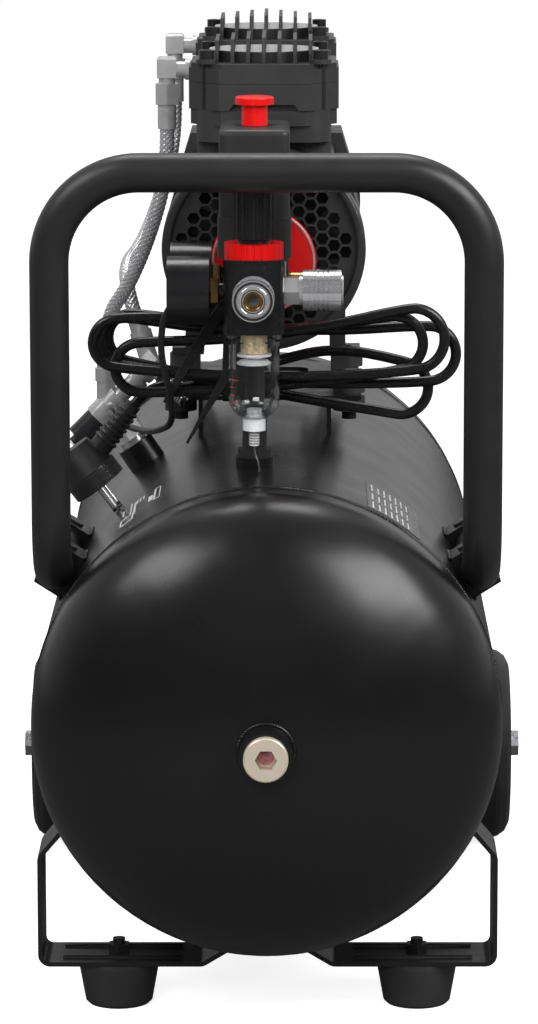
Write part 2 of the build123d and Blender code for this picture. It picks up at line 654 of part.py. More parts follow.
FIN_COUNT = 7
FIN_PITCH = 10.4
FIN_T = 2.4
FIN_TOP_Z = 624.0
PAD_TOP_Z = 614.0
with BuildPart() as cylinder_heads:
    with BuildSketch(Plane.XY.offset(SPLIT_Z)):
        with Locations((MOTOR_X, FRONT_CYL_Y)):
            Polygon(*octagon(HEAD_W), align=None)
    extrude(amount=RIM_Z - SPLIT_Z - 3.0)
    with BuildSketch(Plane.XY.offset(RIM_Z - 3.0)):
        with Locations((MOTOR_X, FRONT_CYL_Y)):
            Polygon(*octagon(HEAD_W - 3.0), align=None)
    extrude(amount=3.0)
    with BuildSketch(Plane.XY.offset(RIM_Z)):
        with Locations((MOTOR_X, FRONT_CYL_Y)):
            Ellipse(37.0, 33.0)
    extrude(amount=PAD_TOP_Z - RIM_Z)
    for number in range(FIN_COUNT):
        off_centre = abs(number - FIN_COUNT // 2)
        fin_half = 42.0 - 2.2 * off_centre
        fin_x = MOTOR_X + (number - FIN_COUNT // 2) * FIN_PITCH
        tip_z = FIN_TOP_Z - 0.8 * off_centre
        with BuildSketch(Plane.YZ.offset(fin_x - FIN_T / 2)):
            with Locations((FRONT_CYL_Y, RIM_Z)):
                Polygon((-fin_half, 0), (-fin_half, 6), (-fin_half + 6, tip_z - RIM_Z),
                        (fin_half - 6, tip_z - RIM_Z), (fin_half, 6), (fin_half, 0), align=None)
        extrude(amount=FIN_T)
    with BuildSketch(Plane.XY.offset(RIM_Z)):
        with Locations(*head_screw_spots(FRONT_CYL_Y)):
            Circle(7.0)
    extrude(amount=3.0)
    with BuildSketch(Plane.XY.offset(SPLIT_Z)):
        with Locations(*head_screw_spots(FRONT_CYL_Y)):
            Circle(SCREW_HOLE_R)
    extrude(amount=20.0, mode=Mode.SUBTRACT)
    mirror(about=mid_plane)
cylinder_heads.part.label = "cylinder_heads"
export_step(cylinder_heads.part, "parts/cylinder_heads.step")


def m6_screw(plane, length):
    """M6 socket head screw, head standing on the plane and shank going through it."""
    shank = turned(along(plane.origin, -plane.z_dir), [(3.0, length)])
    head = turned(plane, [(5.0, 6.0)])
    with BuildPart() as socket:
        with BuildSketch(plane.offset(2.5)):
            RegularPolygon(2.5, 6, major_radius=False)
        extrude(amount=5.0)
    return head.cut(socket.part).fuse(shank)


screw_parts = []
for cylinder_y in (FRONT_CYL_Y, REAR_CYL_Y):
    for x, y in head_screw_spots(cylinder_y):
        screw_parts.append(m6_screw(along((x, y, RIM_Z + 3.0), (0, 0, 1)), 43.0))
for x, y in mount_spots:
    screw_parts.append(m6_screw(along((x, y, SADDLE_TOP_Z - STRIP_T - GROMMET_H), (0, 0, -1)), 26.5))
with BuildPart() as m6_screws:
    add(screw_parts)
m6_screws.part.label = "m6_screws"
export_step(m6_screws.part, "parts/m6_screws.step")

# ---------------------------------------------------------------- rotating group
SHAFT_R = 7.5
SHAFT_HALF = FAN_FACE - 12.0
ECCENTRIC_R = 14.0
with BuildPart() as crankshaft:
    with BuildSketch(Plane.XZ.offset(-MOTOR_Y + SHAFT_HALF)):
        with Locations((MOTOR_X, MOTOR_Z)):
            Circle(SHAFT_R)
    extrude(amount=-2 * SHAFT_HALF)
    for cylinder_y in (FRONT_CYL_Y, REAR_CYL_Y):
        with BuildSketch(Plane.XZ.offset(-cylinder_y + 4.0)):
            with Locations((MOTOR_X + CRANK_THROW, MOTOR_Z)):
                Circle(ECCENTRIC_R)
        extrude(amount=-8.0)
        with BuildSketch(Plane.XZ.offset(-cylinder_y - 7.0)):
            with Locations((MOTOR_X, MOTOR_Z)):
                Circle(12.0)
                with Locations((-14.0, 0)):
                    Rectangle(18.0, 34.0)
        extrude(amount=-7.0)
crankshaft.part.label = "crankshaft"
export_step(crankshaft.part, "parts/crankshaft.step")

with BuildPart() as rotor_core:
    with BuildSketch(Plane.XZ.offset(-MOTOR_Y + STATOR_L / 2)):
        with Locations((MOTOR_X, MOTOR_Z)):
            Circle(33.4)
            Circle(SHAFT_R, mode=Mode.SUBTRACT)
    extrude(amount=-STATOR_L)
rotor_core.part.label = "rotor_core"
export_step(rotor_core.part, "parts/rotor_core.step")

FAN_R = 58.0
FAN_BLADES = 9
FAN_Y = MOTOR_Y - FAN_FACE + 22.0
with BuildPart() as cooling_fans:
    with BuildSketch(Plane.XZ.offset(-FAN_Y + 9.0)):
        with Locations((MOTOR_X, MOTOR_Z)):
            Circle(17.0)
            Circle(SHAFT_R, mode=Mode.SUBTRACT)
    extrude(amount=-13.0)
    for blade in range(FAN_BLADES):
        angle = 2 * pi * blade / FAN_BLADES
        outward = (cos(angle), 0, sin(angle))
        sideways = (-sin(angle), 0, cos(angle))
        root = (MOTOR_X + 15 * cos(angle), FAN_Y - 1.5, MOTOR_Z + 15 * sin(angle))
        with BuildSketch(Plane(origin=root, x_dir=sideways, z_dir=outward)):
            Rectangle(20.0, 2.0, rotation=35)
        extrude(amount=FAN_R - 15)
    mirror(about=mid_plane)
cooling_fans.part.label = "cooling_fans"
export_step(cooling_fans.part, "parts/cooling_fans.step")

PISTON_TOP_Z = 567.0
ROD_EYE_R = 28.5


def piston(cylinder_y):
    """Rigid rod with its cup-sealed piston; the eye is wide so that the crank can turn freely."""
    with BuildPart() as body:
        with BuildSketch(Plane.XZ.offset(-cylinder_y + 4.0)):
            with Locations((MOTOR_X, MOTOR_Z)):
                Circle(ROD_EYE_R + 4.5)
            with Locations((MOTOR_X, MOTOR_Z + 52.0)):
                Rectangle(12.0, 50.0)
            with Locations((MOTOR_X, MOTOR_Z)):
                Circle(ROD_EYE_R, mode=Mode.SUBTRACT)
        extrude(amount=-8.0)
        with BuildSketch(Plane.XY.offset(PISTON_TOP_Z - 10.0)):
            with Locations((MOTOR_X, cylinder_y)):
                Circle(BORE_R - 0.1)
        extrude(amount=10.0)
    return body.part


front_piston_body = piston(FRONT_CYL_Y)
with BuildPart() as front_piston:
    add(front_piston_body)
front_piston.part.label = "front_piston"
export_step(front_piston.part, "parts/front_piston.step")

rear_piston_body = piston(REAR_CYL_Y)
with BuildPart() as rear_piston:
    add(rear_piston_body)
rear_piston.part.label = "rear_piston"
export_step(rear_piston.part, "parts/rear_piston.step")

# ---------------------------------------------------------------- fan covers
COVER_R = 68.0
GRILLE_R = 61.5
CELL_PITCH = 9.0
CELL_GAP = 1.6
COVER_FACE_Y = MOTOR_Y - FAN_FACE
cell_centres = [place.position for place in HexLocations(CELL_PITCH / 2, 15, 15).local_locations
                if 15.0 < place.position.length < GRILLE_R - 6.5]


with BuildPart() as fan_covers:
    with BuildSketch(Plane.XZ.offset(-COVER_FACE_Y)):
        with Locations((MOTOR_X, MOTOR_Z)):
            Circle(COVER_R)
            Circle(GRILLE_R, mode=Mode.SUBTRACT)
    extrude(amount=-28.0)
    fillet(fan_covers.edges().filter_by(GeomType.CIRCLE).group_by(Axis.Y)[0], 2.2)
    with BuildSketch(Plane.XZ.offset(-COVER_FACE_Y - 4.0)):
        with Locations((MOTOR_X, MOTOR_Z)):
            Circle(GRILLE_R + 0.5)
            with Locations(*cell_centres):
                RegularPolygon((CELL_PITCH - CELL_GAP) / 2, 6, major_radius=False, mode=Mode.SUBTRACT)
    extrude(amount=-3.0)
    with BuildSketch(Plane.XZ.offset(-COVER_FACE_Y + 5.5)):
        with Locations((MOTOR_X, MOTOR_Z)):
            Circle(11.0)
    extrude(amount=-10.0)
    mirror(about=mid_plane)
fan_covers.part.label = "fan_covers"
export_step(fan_covers.part, "parts/fan_covers.step")

BADGE_R = 35.0
BADGE_Z = 478.0
with BuildPart() as fan_badge:
    with BuildSketch(Plane.XZ.offset(-COVER_FACE_Y + 5.5)):
        with Locations((MOTOR_X, BADGE_Z)):
            Circle(BADGE_R)
    extrude(amount=3.5)
    fillet(fan_badge.edges().group_by(Axis.Y)[0], 1.5)
fan_badge.part.label = "fan_badge"
export_step(fan_badge.part, "parts/fan_badge.step")

# ---------------------------------------------------------------- discharge line
ELBOW_X = -68.5
ELBOW_Z = 601.5
HEAD_SIDE_X = MOTOR_X - HEAD_W / 2
TEE_AT = (VALVE_AT[0] + 41 * 0.7, VALVE_Y, VALVE_AT[2] + 41 * 0.714)
TEE_UP = (-0.3, 0.3, 0.9055)
TEE_OUT = (0.66, -0.5, -0.5607)
VALVE_ARM = (0.7, 0.0, 0.7141)
NUT_L = 14.0


def outlet_elbow(y):
    """Square elbow on the side of a head, with the hose nut and ferrule under it."""
    arm = turned(along((HEAD_SIDE_X, y, ELBOW_Z - 1.5), (-1, 0, 0)), [(7.0, 3.0), (5.5, 8.0)])
    with BuildPart() as block:
        with Locations((ELBOW_X, y, ELBOW_Z)):
            Box(13.0, 13.0, 14.0)
        chamfer(block.edges().group_by(Axis.Z)[-1], 1.5)
    stem = turned(along((ELBOW_X, y, ELBOW_Z - 7.0), (0, 0, -1)), [(5.5, 4.0)])
    nut = hexagon(along((ELBOW_X, y, ELBOW_Z - 11.0), (0, 0, -1)), 15.0, NUT_L)
    ferrule = turned(along((ELBOW_X, y, ELBOW_Z - 11.0 - NUT_L), (0, 0, -1)), [(6.2, 16.5)])
    return block.part.fuse(arm, stem, nut, ferrule)


HOSE_TOP_Z = ELBOW_Z - 11.0 - NUT_L - 16.5
elbows = [outlet_elbow(y) for y in (FRONT_CYL_Y, REAR_CYL_Y)]
hose_a_end = (VALVE_AT[0] - 2.0, VALVE_Y, VALVE_AT[2] + 37.0)
hose_b_end = tuple(a + 34.0 * b for a, b in zip(TEE_AT, TEE_UP))
hose_b_lead = tuple(a + 60.0 * b for a, b in zip(TEE_AT, TEE_UP))
ferrule_steps = [(7.5, 9.0), (6.3, 10.0)]
ferrule_a = turned(along((hose_a_end[0], hose_a_end[1], hose_a_end[2] - 19.0), (0, 0, 1)), ferrule_steps)
ferrule_b = turned(along(tuple(a + 15.0 * b for a, b in zip(TEE_AT, TEE_UP)), TEE_UP), ferrule_steps)
with BuildPart() as hose_fittings:
    add(elbows)
    add([ferrule_a, ferrule_b])
hose_fittings.part.label = "hose_fittings"
export_step(hose_fittings.part, "parts/hose_fittings.step")

HOSE_A_ROUTE = [
    (ELBOW_X, FRONT_CYL_Y, HOSE_TOP_Z), (ELBOW_X, FRONT_CYL_Y, 532.0), (-78.5, -62.0, 493.0),
    (-95.0, -50.0, 452.0), (hose_a_end[0], VALVE_Y, 428.0), hose_a_end,
]
HOSE_B_ROUTE = [
    (ELBOW_X, REAR_CYL_Y, HOSE_TOP_Z), (ELBOW_X, REAR_CYL_Y, 534.0), (-76.0, 122.0, 503.0),
    (-84.5, 84.0, 479.0), (-92.5, 46.0, 464.0), (-98.5, 10.0, 461.0), hose_b_lead, hose_b_end,
]
hoses = [tube(HOSE_A_ROUTE, HOSE_R), tube(HOSE_B_ROUTE, HOSE_R)]
with BuildPart() as braided_hoses:
    add(hoses)
braided_hoses.part.label = "braided_hoses"
export_step(braided_hoses.part, "parts/braided_hoses.step")

neck_start = tank_normal_plane(TANK_R + 16.0, (VALVE_OUT[0], VALVE_OUT[2]), VALVE_Y)
valve_neck = turned(neck_start, [(9.0, VALVE_REACH - TANK_R - 16.0)])
valve_hex = hexagon(neck_start.offset(4.0), 22.0, 9.0)
ball_start = tuple(a - 11.0 * b for a, b in zip(VALVE_AT, VALVE_ARM))
valve_ball = turned(along(ball_start, VALVE_ARM), [(10.0, 22.0)])
valve_arm = turned(along(VALVE_AT, VALVE_ARM),
                   [(6.0, 26.0), (8.5, 3.0), (6.5, 2.0), (8.5, 3.0), (7.0, 7.0)])
valve_top = turned(along((hose_a_end[0], VALVE_Y, VALVE_AT[2]), (0, 0, 1)), [(6.5, 18.0)])
tee_hex = hexagon(along(tuple(a - 8.0 * b for a, b in zip(TEE_AT, VALVE_ARM)), VALVE_ARM), 17.0, 15.0)
tee_up = turned(along(TEE_AT, TEE_UP), [(6.5, 15.0)])
tee_side = turned(along(TEE_AT, TEE_OUT), [(5.5, 13.0)])
coil_start = along(ball_start, tuple(-b for b in VALVE_ARM))
relief_coil = turned(coil_start, [(9.0, 19.0), (4.0, 5.0)])
silencer = turned(along(tuple(a + 13.0 * b for a, b in zip(TEE_AT, TEE_OUT)), TEE_OUT),
                  [(6.6, 6.0), (6.2, 20.0), (5.0, 2.0)])
tube_nut = turned(along((-108.0, VALVE_Y - 4.0, 366.0), (0, -1, 0), across=(1, 0, 0)), [(4.5, 14.0)])
check_valve_body = valve_neck.fuse(valve_hex, valve_ball, valve_arm, valve_top, tee_hex, tee_up,
                                   tee_side, tube_nut)
with BuildPart() as check_valve:
    add(check_valve_body)
check_valve.part.label = "check_valve"
export_step(check_valve.part, "parts/check_valve.step")

with BuildPart() as relief_valve:
    add([relief_coil, silencer])
relief_valve.part.label = "relief_valve"
export_step(relief_valve.part, "parts/relief_valve.step")

# ---------------------------------------------------------------- riser, manifold and pressure switch
MANIFOLD_W = 20.0
TUBE_R = 2.2
UNION_L = 9.0           # push-in union for the unloader tube
UNION_Y = -203.0
UNION_Z = 470.0
MANIFOLD_Z = (457.0, 490.0)
MANIFOLD_Y = (-217.0, -147.0)
RISER_BASE_Z = AXIS_Z + TANK_R + 6.0
riser_pipe = turned(along((AIR_X, RISER_Y, RISER_BASE_Z), (0, 0, 1)),
                    [(11.0, 5.0), (8.0, MANIFOLD_Z[0] - RISER_BASE_Z - 5.0)])
tube_union = turned(along((AIR_X - MANIFOLD_W / 2 + 1.0, UNION_Y, UNION_Z), (-1, 0, 0)),
                    [(4.5, UNION_L + 1.0)])
with BuildPart() as riser_manifold:
    with BuildSketch(Plane.XY.offset(MANIFOLD_Z[0])):
        with Locations((AIR_X, sum(MANIFOLD_Y) / 2)):
            RectangleRounded(MANIFOLD_W, MANIFOLD_Y[1] - MANIFOLD_Y[0], 3.0)
    extrude(amount=MANIFOLD_Z[1] - MANIFOLD_Z[0])
    add([riser_pipe, tube_union])
riser_manifold.part.label = "riser_manifold"
export_step(riser_manifold.part, "parts/riser_manifold.step")

UNLOADER_ROUTE = [
    (-108.0, VALVE_Y - 18.0, 366.0), (-107.8, -76.0, 366.0), (-95.0, -108.0, 363.0), (-78.0, -146.0, 365.0),
    (-62.0, -179.0, 376.0), (-64.0, -197.0, 402.0), (-70.0, -202.0, 427.0), (-67.5, UNION_Y, 453.0),
    (-51.0, UNION_Y, UNION_Z),
    (AIR_X - MANIFOLD_W / 2 - UNION_L, UNION_Y, UNION_Z),
]
unloader = tube(UNLOADER_ROUTE, TUBE_R)
with BuildPart() as unloader_tube:
    add(unloader)
unloader_tube.part.label = "unloader_tube"
export_step(unloader_tube.part, "parts/unloader_tube.step")

SWITCH_W = 45.7
SWITCH_L = 74.0
SWITCH_Z = (490.0, 516.0, 573.0)
with BuildPart() as pressure_switch_base:
    with BuildSketch(Plane.XY.offset(SWITCH_Z[0])):
        with Locations((AIR_X, SWITCH_Y)):
            RectangleRounded(SWITCH_W + 2.0, SWITCH_L + 2.0, 5.0)
    extrude(amount=SWITCH_Z[1] - SWITCH_Z[0])
pressure_switch_base.part.label = "pressure_switch_base"
export_step(pressure_switch_base.part, "parts/pressure_switch_base.step")

KNOB_Y = -178.0
KNOB_BORE_R = 9.0
with BuildPart() as pressure_switch_cover:
    with BuildSketch(Plane.XY.offset(SWITCH_Z[1])):
        with Locations((AIR_X, SWITCH_Y)):
            RectangleRounded(SWITCH_W, SWITCH_L, 5.0)
    extrude(amount=SWITCH_Z[2] - SWITCH_Z[1])
    fillet(pressure_switch_cover.faces().sort_by(Axis.Z)[-1].edges(), 4.0)
    with BuildSketch(Plane.XY.offset(SWITCH_Z[1])):
        with Locations((AIR_X, SWITCH_Y)):
            RectangleRounded(SWITCH_W - 5.0, SWITCH_L - 5.0, 3.0)
    extrude(amount=SWITCH_Z[2] - SWITCH_Z[1] - 2.5, mode=Mode.SUBTRACT)
    with BuildSketch(Plane.XY.offset(SWITCH_Z[2])):
        with Locations((AIR_X, KNOB_Y)):
            Circle(KNOB_BORE_R)
    extrude(amount=-6.0, mode=Mode.SUBTRACT)
pressure_switch_cover.part.label = "pressure_switch_cover"
export_step(pressure_switch_cover.part, "parts/pressure_switch_cover.step")

KNOB_TOP_Z = 591.5
with BuildPart() as switch_knob:
    with BuildSketch(Plane.XY.offset(KNOB_TOP_Z)):
        with Locations((AIR_X, KNOB_Y)):
            Circle(12.6)
    extrude(amount=-5.0)
    fillet(switch_knob.edges().group_by(Axis.Z)[-1], 1.2)
    with BuildSketch(Plane.XY.offset(KNOB_TOP_Z - 5.0)):
        with Locations((AIR_X, KNOB_Y)):
            Circle(8.5)
    extrude(amount=-24.0)
switch_knob.part.label = "switch_knob"
export_step(switch_knob.part, "parts/switch_knob.step")

GLAND_AT = (8.0, -153.0)
GLAND_Z = 474.0
with BuildPart() as cable_gland:
    add(hexagon(along((GLAND_AT[0], GLAND_AT[1], SWITCH_Z[0]), (0, 0, -1)), 11.0, 5.0, bore_r=0.0))
    with BuildSketch(Plane.XY.offset(SWITCH_Z[0] - 5.0)):
        with Locations(GLAND_AT):
            Circle(5.6)
    extrude(amount=GLAND_Z - SWITCH_Z[0] + 5.0)
cable_gland.part.label = "cable_gland"
export_step(cable_gland.part, "parts/cable_gland.step")

RELIEF_Y = -196.0
MANIFOLD_SIDE_X = AIR_X + MANIFOLD_W / 2
with BuildPart() as safety_valve_body:
    with BuildSketch(along((MANIFOLD_SIDE_X, RELIEF_Y, AIR_Z), (1, 0, 0))):
        RegularPolygon(7.0, 6, major_radius=False)
    extrude(amount=8.0)
    with BuildSketch(along((MANIFOLD_SIDE_X + 8.0, RELIEF_Y, AIR_Z), (1, 0, 0))):
        Circle(6.5)
        Circle(2.2, mode=Mode.SUBTRACT)
    extrude(amount=14.0)
safety_valve_body.part.label = "safety_valve_body"
export_step(safety_valve_body.part, "parts/safety_valve_body.step")

PULL_X = MANIFOLD_SIDE_X + 22.5
with BuildPart() as safety_valve_pull:
    with BuildSketch(along((MANIFOLD_SIDE_X + 10.0, RELIEF_Y, AIR_Z), (1, 0, 0))):
        Circle(2.0)
    extrude(amount=PULL_X - MANIFOLD_SIDE_X - 8.0)
    with BuildSketch(Plane.XZ.offset(-RELIEF_Y + 1.2)):
        with Locations((PULL_X + 9.0, AIR_Z)):
            Circle(8.0)
            Circle(5.8, mode=Mode.SUBTRACT)
    extrude(amount=-2.4)
safety_valve_pull.part.label = "safety_valve_pull"
export_step(safety_valve_pull.part, "parts/safety_valve_pull.step")

# ---------------------------------------------------------------- filter regulator
REG_Z = (446.0, 494.0)
REG_HALF = REG_W / 2
BOWL_R = 16.5
with BuildPart() as regulator_body:
    with BuildSketch(Plane.XY.offset(REG_Z[0])):
        with Locations((AIR_X, REG_Y)):
            RectangleRounded(REG_W, REG_W, 9.0)
    extrude(amount=REG_Z[1] - REG_Z[0])
    with BuildSketch(along((AIR_X, REG_Y + REG_HALF - 2.0, AIR_Z), (0, 1, 0), across=(1, 0, 0))):
        Circle(8.0)
    extrude(amount=MANIFOLD_Y[0] - REG_Y - REG_HALF + 2.0)
    with BuildSketch(Plane.XY.offset(REG_Z[1])):
        with Locations((AIR_X, REG_Y)):
            Circle(10.8)
    extrude(amount=12.0)
    with BuildSketch(Plane.XY.offset(REG_Z[1] + 12.0)):
        with Locations((AIR_X, REG_Y)):
            Circle(7.5)
    extrude(amount=20.0)
regulator_body.part.label = "regulator_body"
export_step(regulator_body.part, "parts/regulator_body.step")

with BuildPart() as regulator_ring:
    with BuildSketch(Plane.XY.offset(REG_Z[1])):
        with Locations((AIR_X, REG_Y)):
            Circle(19.0)
            Circle(10.8, mode=Mode.SUBTRACT)
            with PolarLocations(19.2, 24):
                Circle(0.9, mode=Mode.SUBTRACT)
    extrude(amount=9.5)
regulator_ring.part.label = "regulator_ring"
export_step(regulator_ring.part, "parts/regulator_ring.step")

REG_KNOB_Z = (506.5, 542.0)
with BuildPart() as regulator_knob:
    with BuildSketch(Plane.XY.offset(REG_KNOB_Z[0])):
        with Locations((AIR_X, REG_Y)):
            Circle(13.0)
            with PolarLocations(13.0, 18):
                Circle(1.0)
    extrude(amount=REG_KNOB_Z[1] - REG_KNOB_Z[0] - 3.0)
    with BuildSketch(Plane.XY.offset(REG_KNOB_Z[1] - 3.0)):
        with Locations((AIR_X, REG_Y)):
            Circle(12.4)
    extrude(amount=3.0)
    with BuildSketch(Plane.XY.offset(REG_KNOB_Z[0])):
        with Locations((AIR_X, REG_Y)):
            Circle(7.6)
    extrude(amount=24.0, mode=Mode.SUBTRACT)
regulator_knob.part.label = "regulator_knob"
export_step(regulator_knob.part, "parts/regulator_knob.step")

BOWL_BOTTOM_Z = 389.9
with BuildPart() as filter_bowl:
    with BuildSketch(Plane.XZ.offset(-REG_Y)):
        with BuildLine():
            inner_r = BOWL_R - 2.2
            Polyline((AIR_X + inner_r, REG_Z[0]), (AIR_X + 18.0, REG_Z[0]), (AIR_X + 18.0, REG_Z[0] - 5.0),
                     (AIR_X + BOWL_R, REG_Z[0] - 6.0), (AIR_X + BOWL_R, BOWL_BOTTOM_Z + 13.0))
            ThreePointArc((AIR_X + BOWL_R, BOWL_BOTTOM_Z + 13.0), (AIR_X + 12.9, BOWL_BOTTOM_Z + 4.0),
                          (AIR_X + 5.2, BOWL_BOTTOM_Z))
            Polyline((AIR_X + 5.2, BOWL_BOTTOM_Z), (AIR_X + 5.2, BOWL_BOTTOM_Z + 2.2))
            ThreePointArc((AIR_X + 5.2, BOWL_BOTTOM_Z + 2.2), (AIR_X + 11.4, BOWL_BOTTOM_Z + 5.6),
                          (AIR_X + inner_r, BOWL_BOTTOM_Z + 13.0))
            Line((AIR_X + inner_r, BOWL_BOTTOM_Z + 13.0), (AIR_X + inner_r, REG_Z[0]))
        make_face()
    revolve(axis=Axis((AIR_X, REG_Y, 0), (0, 0, 1)))
filter_bowl.part.label = "filter_bowl"
export_step(filter_bowl.part, "parts/filter_bowl.step")

element = turned(along((AIR_X, REG_Y, REG_Z[0]), (0, 0, -1)),
                 [(8.7, 14.0), (11.2, 1.8), (5.0, 3.6), (11.2, 1.8), (4.0, 3.0)])
with BuildPart() as filter_element:
    add(element)
filter_element.part.label = "filter_element"
export_step(filter_element.part, "parts/filter_element.step")

with BuildPart() as bowl_drain_valve:
    add(turned(along((AIR_X, REG_Y, BOWL_BOTTOM_Z - 0.4), (0, 0, -1)), [(7.5, 7.5), (3.2, 10.0)]))
    add(turned(along((AIR_X, REG_Y, BOWL_BOTTOM_Z - 0.4), (0, 0, 1)), [(4.9, 6.0)]))
bowl_drain_valve.part.label = "bowl_drain_valve"
export_step(bowl_drain_valve.part, "parts/bowl_drain_valve.step")

# ---------------------------------------------------------------- quick couplings
COUPLING_BORE_R = 5.6
COUPLING_L = 37.6
HEX_L = 9.5
SLEEVE_START = 11.8
SLEEVE_L = 24.6


def coupling_body(plane):
    """Socket of a quick coupling: hexagon, core with the bore, front lip."""
    nut = hexagon(plane, 17.0, HEX_L)
    core = turned(plane.offset(HEX_L), [(9.9, COUPLING_L - HEX_L)])
    bore = turned(plane.offset(COUPLING_L - 24.0), [(COUPLING_BORE_R, 24.0)])
    return nut.fuse(core).cut(bore)


def coupling_sleeve(plane):
    """Sliding sleeve that frees the plug when it is pulled back."""
    with BuildPart() as sleeve:
        with BuildSketch(plane.offset(SLEEVE_START)):
            Circle(13.25)
            Circle(10.0, mode=Mode.SUBTRACT)
        extrude(amount=SLEEVE_L)
        for groove in range(4):
            with BuildSketch(plane.offset(SLEEVE_START + 6.0 + 3.2 * groove)):
                Circle(14.0)
                Circle(12.6, mode=Mode.SUBTRACT)
            extrude(amount=1.3, mode=Mode.SUBTRACT)
    return sleeve.part


side_plane = along((AIR_X + REG_HALF, REG_Y, AIR_Z), (1, 0, 0))
front_plane = along((AIR_X, REG_Y - REG_HALF, AIR_Z), (0, -1, 0), across=(1, 0, 0))
coupling_parts = [coupling_body(plane) for plane in (side_plane, front_plane)]
with BuildPart() as coupling_bodies:
    add(coupling_parts)
coupling_bodies.part.label = "coupling_bodies"
export_step(coupling_bodies.part, "parts/coupling_bodies.step")

side_sleeve = coupling_sleeve(side_plane)
with BuildPart() as side_coupling_sleeve:
    add(side_sleeve)
side_coupling_sleeve.part.label = "side_coupling_sleeve"
export_step(side_coupling_sleeve.part, "parts/side_coupling_sleeve.step")

front_sleeve = coupling_sleeve(front_plane)
with BuildPart() as front_coupling_sleeve:
    add(front_sleeve)
front_coupling_sleeve.part.label = "front_coupling_sleeve"
export_step(front_coupling_sleeve.part, "parts/front_coupling_sleeve.step")

# ---------------------------------------------------------------- gauges
GAUGE_BACK_X = -37.0
GAUGE_FACE_X = -64.0
GAUGE_WALL = 2.0
DIAL_X = -57.0
gauge_feet = (AIR_X - REG_HALF, AIR_X - MANIFOLD_W / 2)


def gauge_case(y, port_x):
    """Cup-shaped case that opens to -X, its dial plate, and the hexagon stem behind it."""
    back = along((GAUGE_BACK_X, y, AIR_Z), (-1, 0, 0))
    depth = GAUGE_BACK_X - GAUGE_FACE_X
    cup = turned(back, [(GAUGE_R, depth)])
    hollow = turned(back.offset(GAUGE_WALL), [(GAUGE_R - GAUGE_WALL, depth)])
    stem = turned(along((GAUGE_BACK_X, y, AIR_Z), (1, 0, 0)), [(5.0, port_x - GAUGE_BACK_X)])
    collar = hexagon(along((GAUGE_BACK_X, y, AIR_Z), (1, 0, 0)), 13.0, 6.0)
    dial = turned(along((DIAL_X, y, AIR_Z), (1, 0, 0)), [(GAUGE_R - GAUGE_WALL, 1.0)], bore_r=1.4)
    return [cup.cut(hollow).fuse(stem, collar), dial]


case_parts = []
for gauge_y, foot_x in zip(GAUGE_Y, gauge_feet):
    case_parts += gauge_case(gauge_y, foot_x)
with BuildPart() as gauge_cases:
    add(case_parts)
gauge_cases.part.label = "gauge_cases"
export_step(gauge_cases.part, "parts/gauge_cases.step")

lens_parts = [turned(along((GAUGE_FACE_X + 2.6, y, AIR_Z), (-1, 0, 0)), [(GAUGE_R - GAUGE_WALL, 1.6)])
              for y in GAUGE_Y]
with BuildPart() as gauge_lenses:
    add(lens_parts)
gauge_lenses.part.label = "gauge_lenses"
export_step(gauge_lenses.part, "parts/gauge_lenses.step")


def needle(y):
    """Needle on its arbor, resting at the bottom left of the dial."""
    with BuildPart() as hand:
        with BuildSketch(along((DIAL_X - 0.6, y, AIR_Z), (-1, 0, 0), across=(0, 0.7071, -0.7071))):
            Circle(2.2)
            Polygon((-4.0, -1.2), (16.0, -0.35), (16.0, 0.35), (-4.0, 1.2), align=None)
        extrude(amount=0.8)
        with BuildSketch(along((DIAL_X - 0.6, y, AIR_Z), (1, 0, 0))):
            Circle(1.3)
        extrude(amount=6.0)
    return hand.part


front_needle = needle(GAUGE_Y[0])
with BuildPart() as front_gauge_needle:
    add(front_needle)
front_gauge_needle.part.label = "front_gauge_needle"
export_step(front_gauge_needle.part, "parts/front_gauge_needle.step")

rear_needle = needle(GAUGE_Y[1])
with BuildPart() as rear_gauge_needle:
    add(rear_needle)
rear_gauge_needle.part.label = "rear_gauge_needle"
export_step(rear_gauge_needle.part, "parts/rear_gauge_needle.step")

# ---------------------------------------------------------------- supply cord, hank and plug
PLUG_Y = -154.0
PLUG_FACE = (-111.6, PLUG_Y, 331.1)
PLUG_BACK = (-0.6, 0.0, 0.8)
PLUG_SIDE = (0.8, 0.0, 0.6)
BOOT_DIR = (0.62, 0.0, 0.7846)
BOOT_L = 38.0
PIN_L = 19.0
PIN_PITCH = 19.0
plug_plane = Plane(origin=PLUG_FACE, x_dir=PLUG_SIDE, z_dir=PLUG_BACK)
boot_start = tuple(f + 20.0 * b + 14.0 * s for f, b, s in zip(PLUG_FACE, PLUG_BACK, PLUG_SIDE))
boot_end = tuple(s + BOOT_L * d for s, d in zip(boot_start, BOOT_DIR))
boot_parts = turned(along(boot_start, BOOT_DIR), [(7.5, 8.0), (6.8, 10.0), (6.0, 10.0), (5.2, 10.0)])
with BuildPart() as plug:
    with BuildSketch(plug_plane):
        Circle(18.5)
    extrude(amount=12.0)
    with BuildSketch(plug_plane.offset(12.0)):
        Circle(17.6)
    with BuildSketch(plug_plane.offset(31.0)):
        RectangleRounded(24.0, 18.0, 6.0)
    loft()
    add(boot_parts)
    with BuildSketch(plug_plane):
        with Locations((0, PIN_PITCH / 2), (0, -PIN_PITCH / 2)):
            Circle(2.4)
    extrude(amount=-PIN_L)
plug.part.label = "plug"
export_step(plug.part, "parts/plug.step")

HANK_Y = (-184.0, -140.0)
BOOT_LIP = 6.5


def boot_lip(side):
    """A point at the edge of the flat that faces the plug's boot."""
    return (boot_end[0] + side * BOOT_LIP * BOOT_DIR[2], boot_end[2] - side * BOOT_LIP * BOOT_DIR[0])


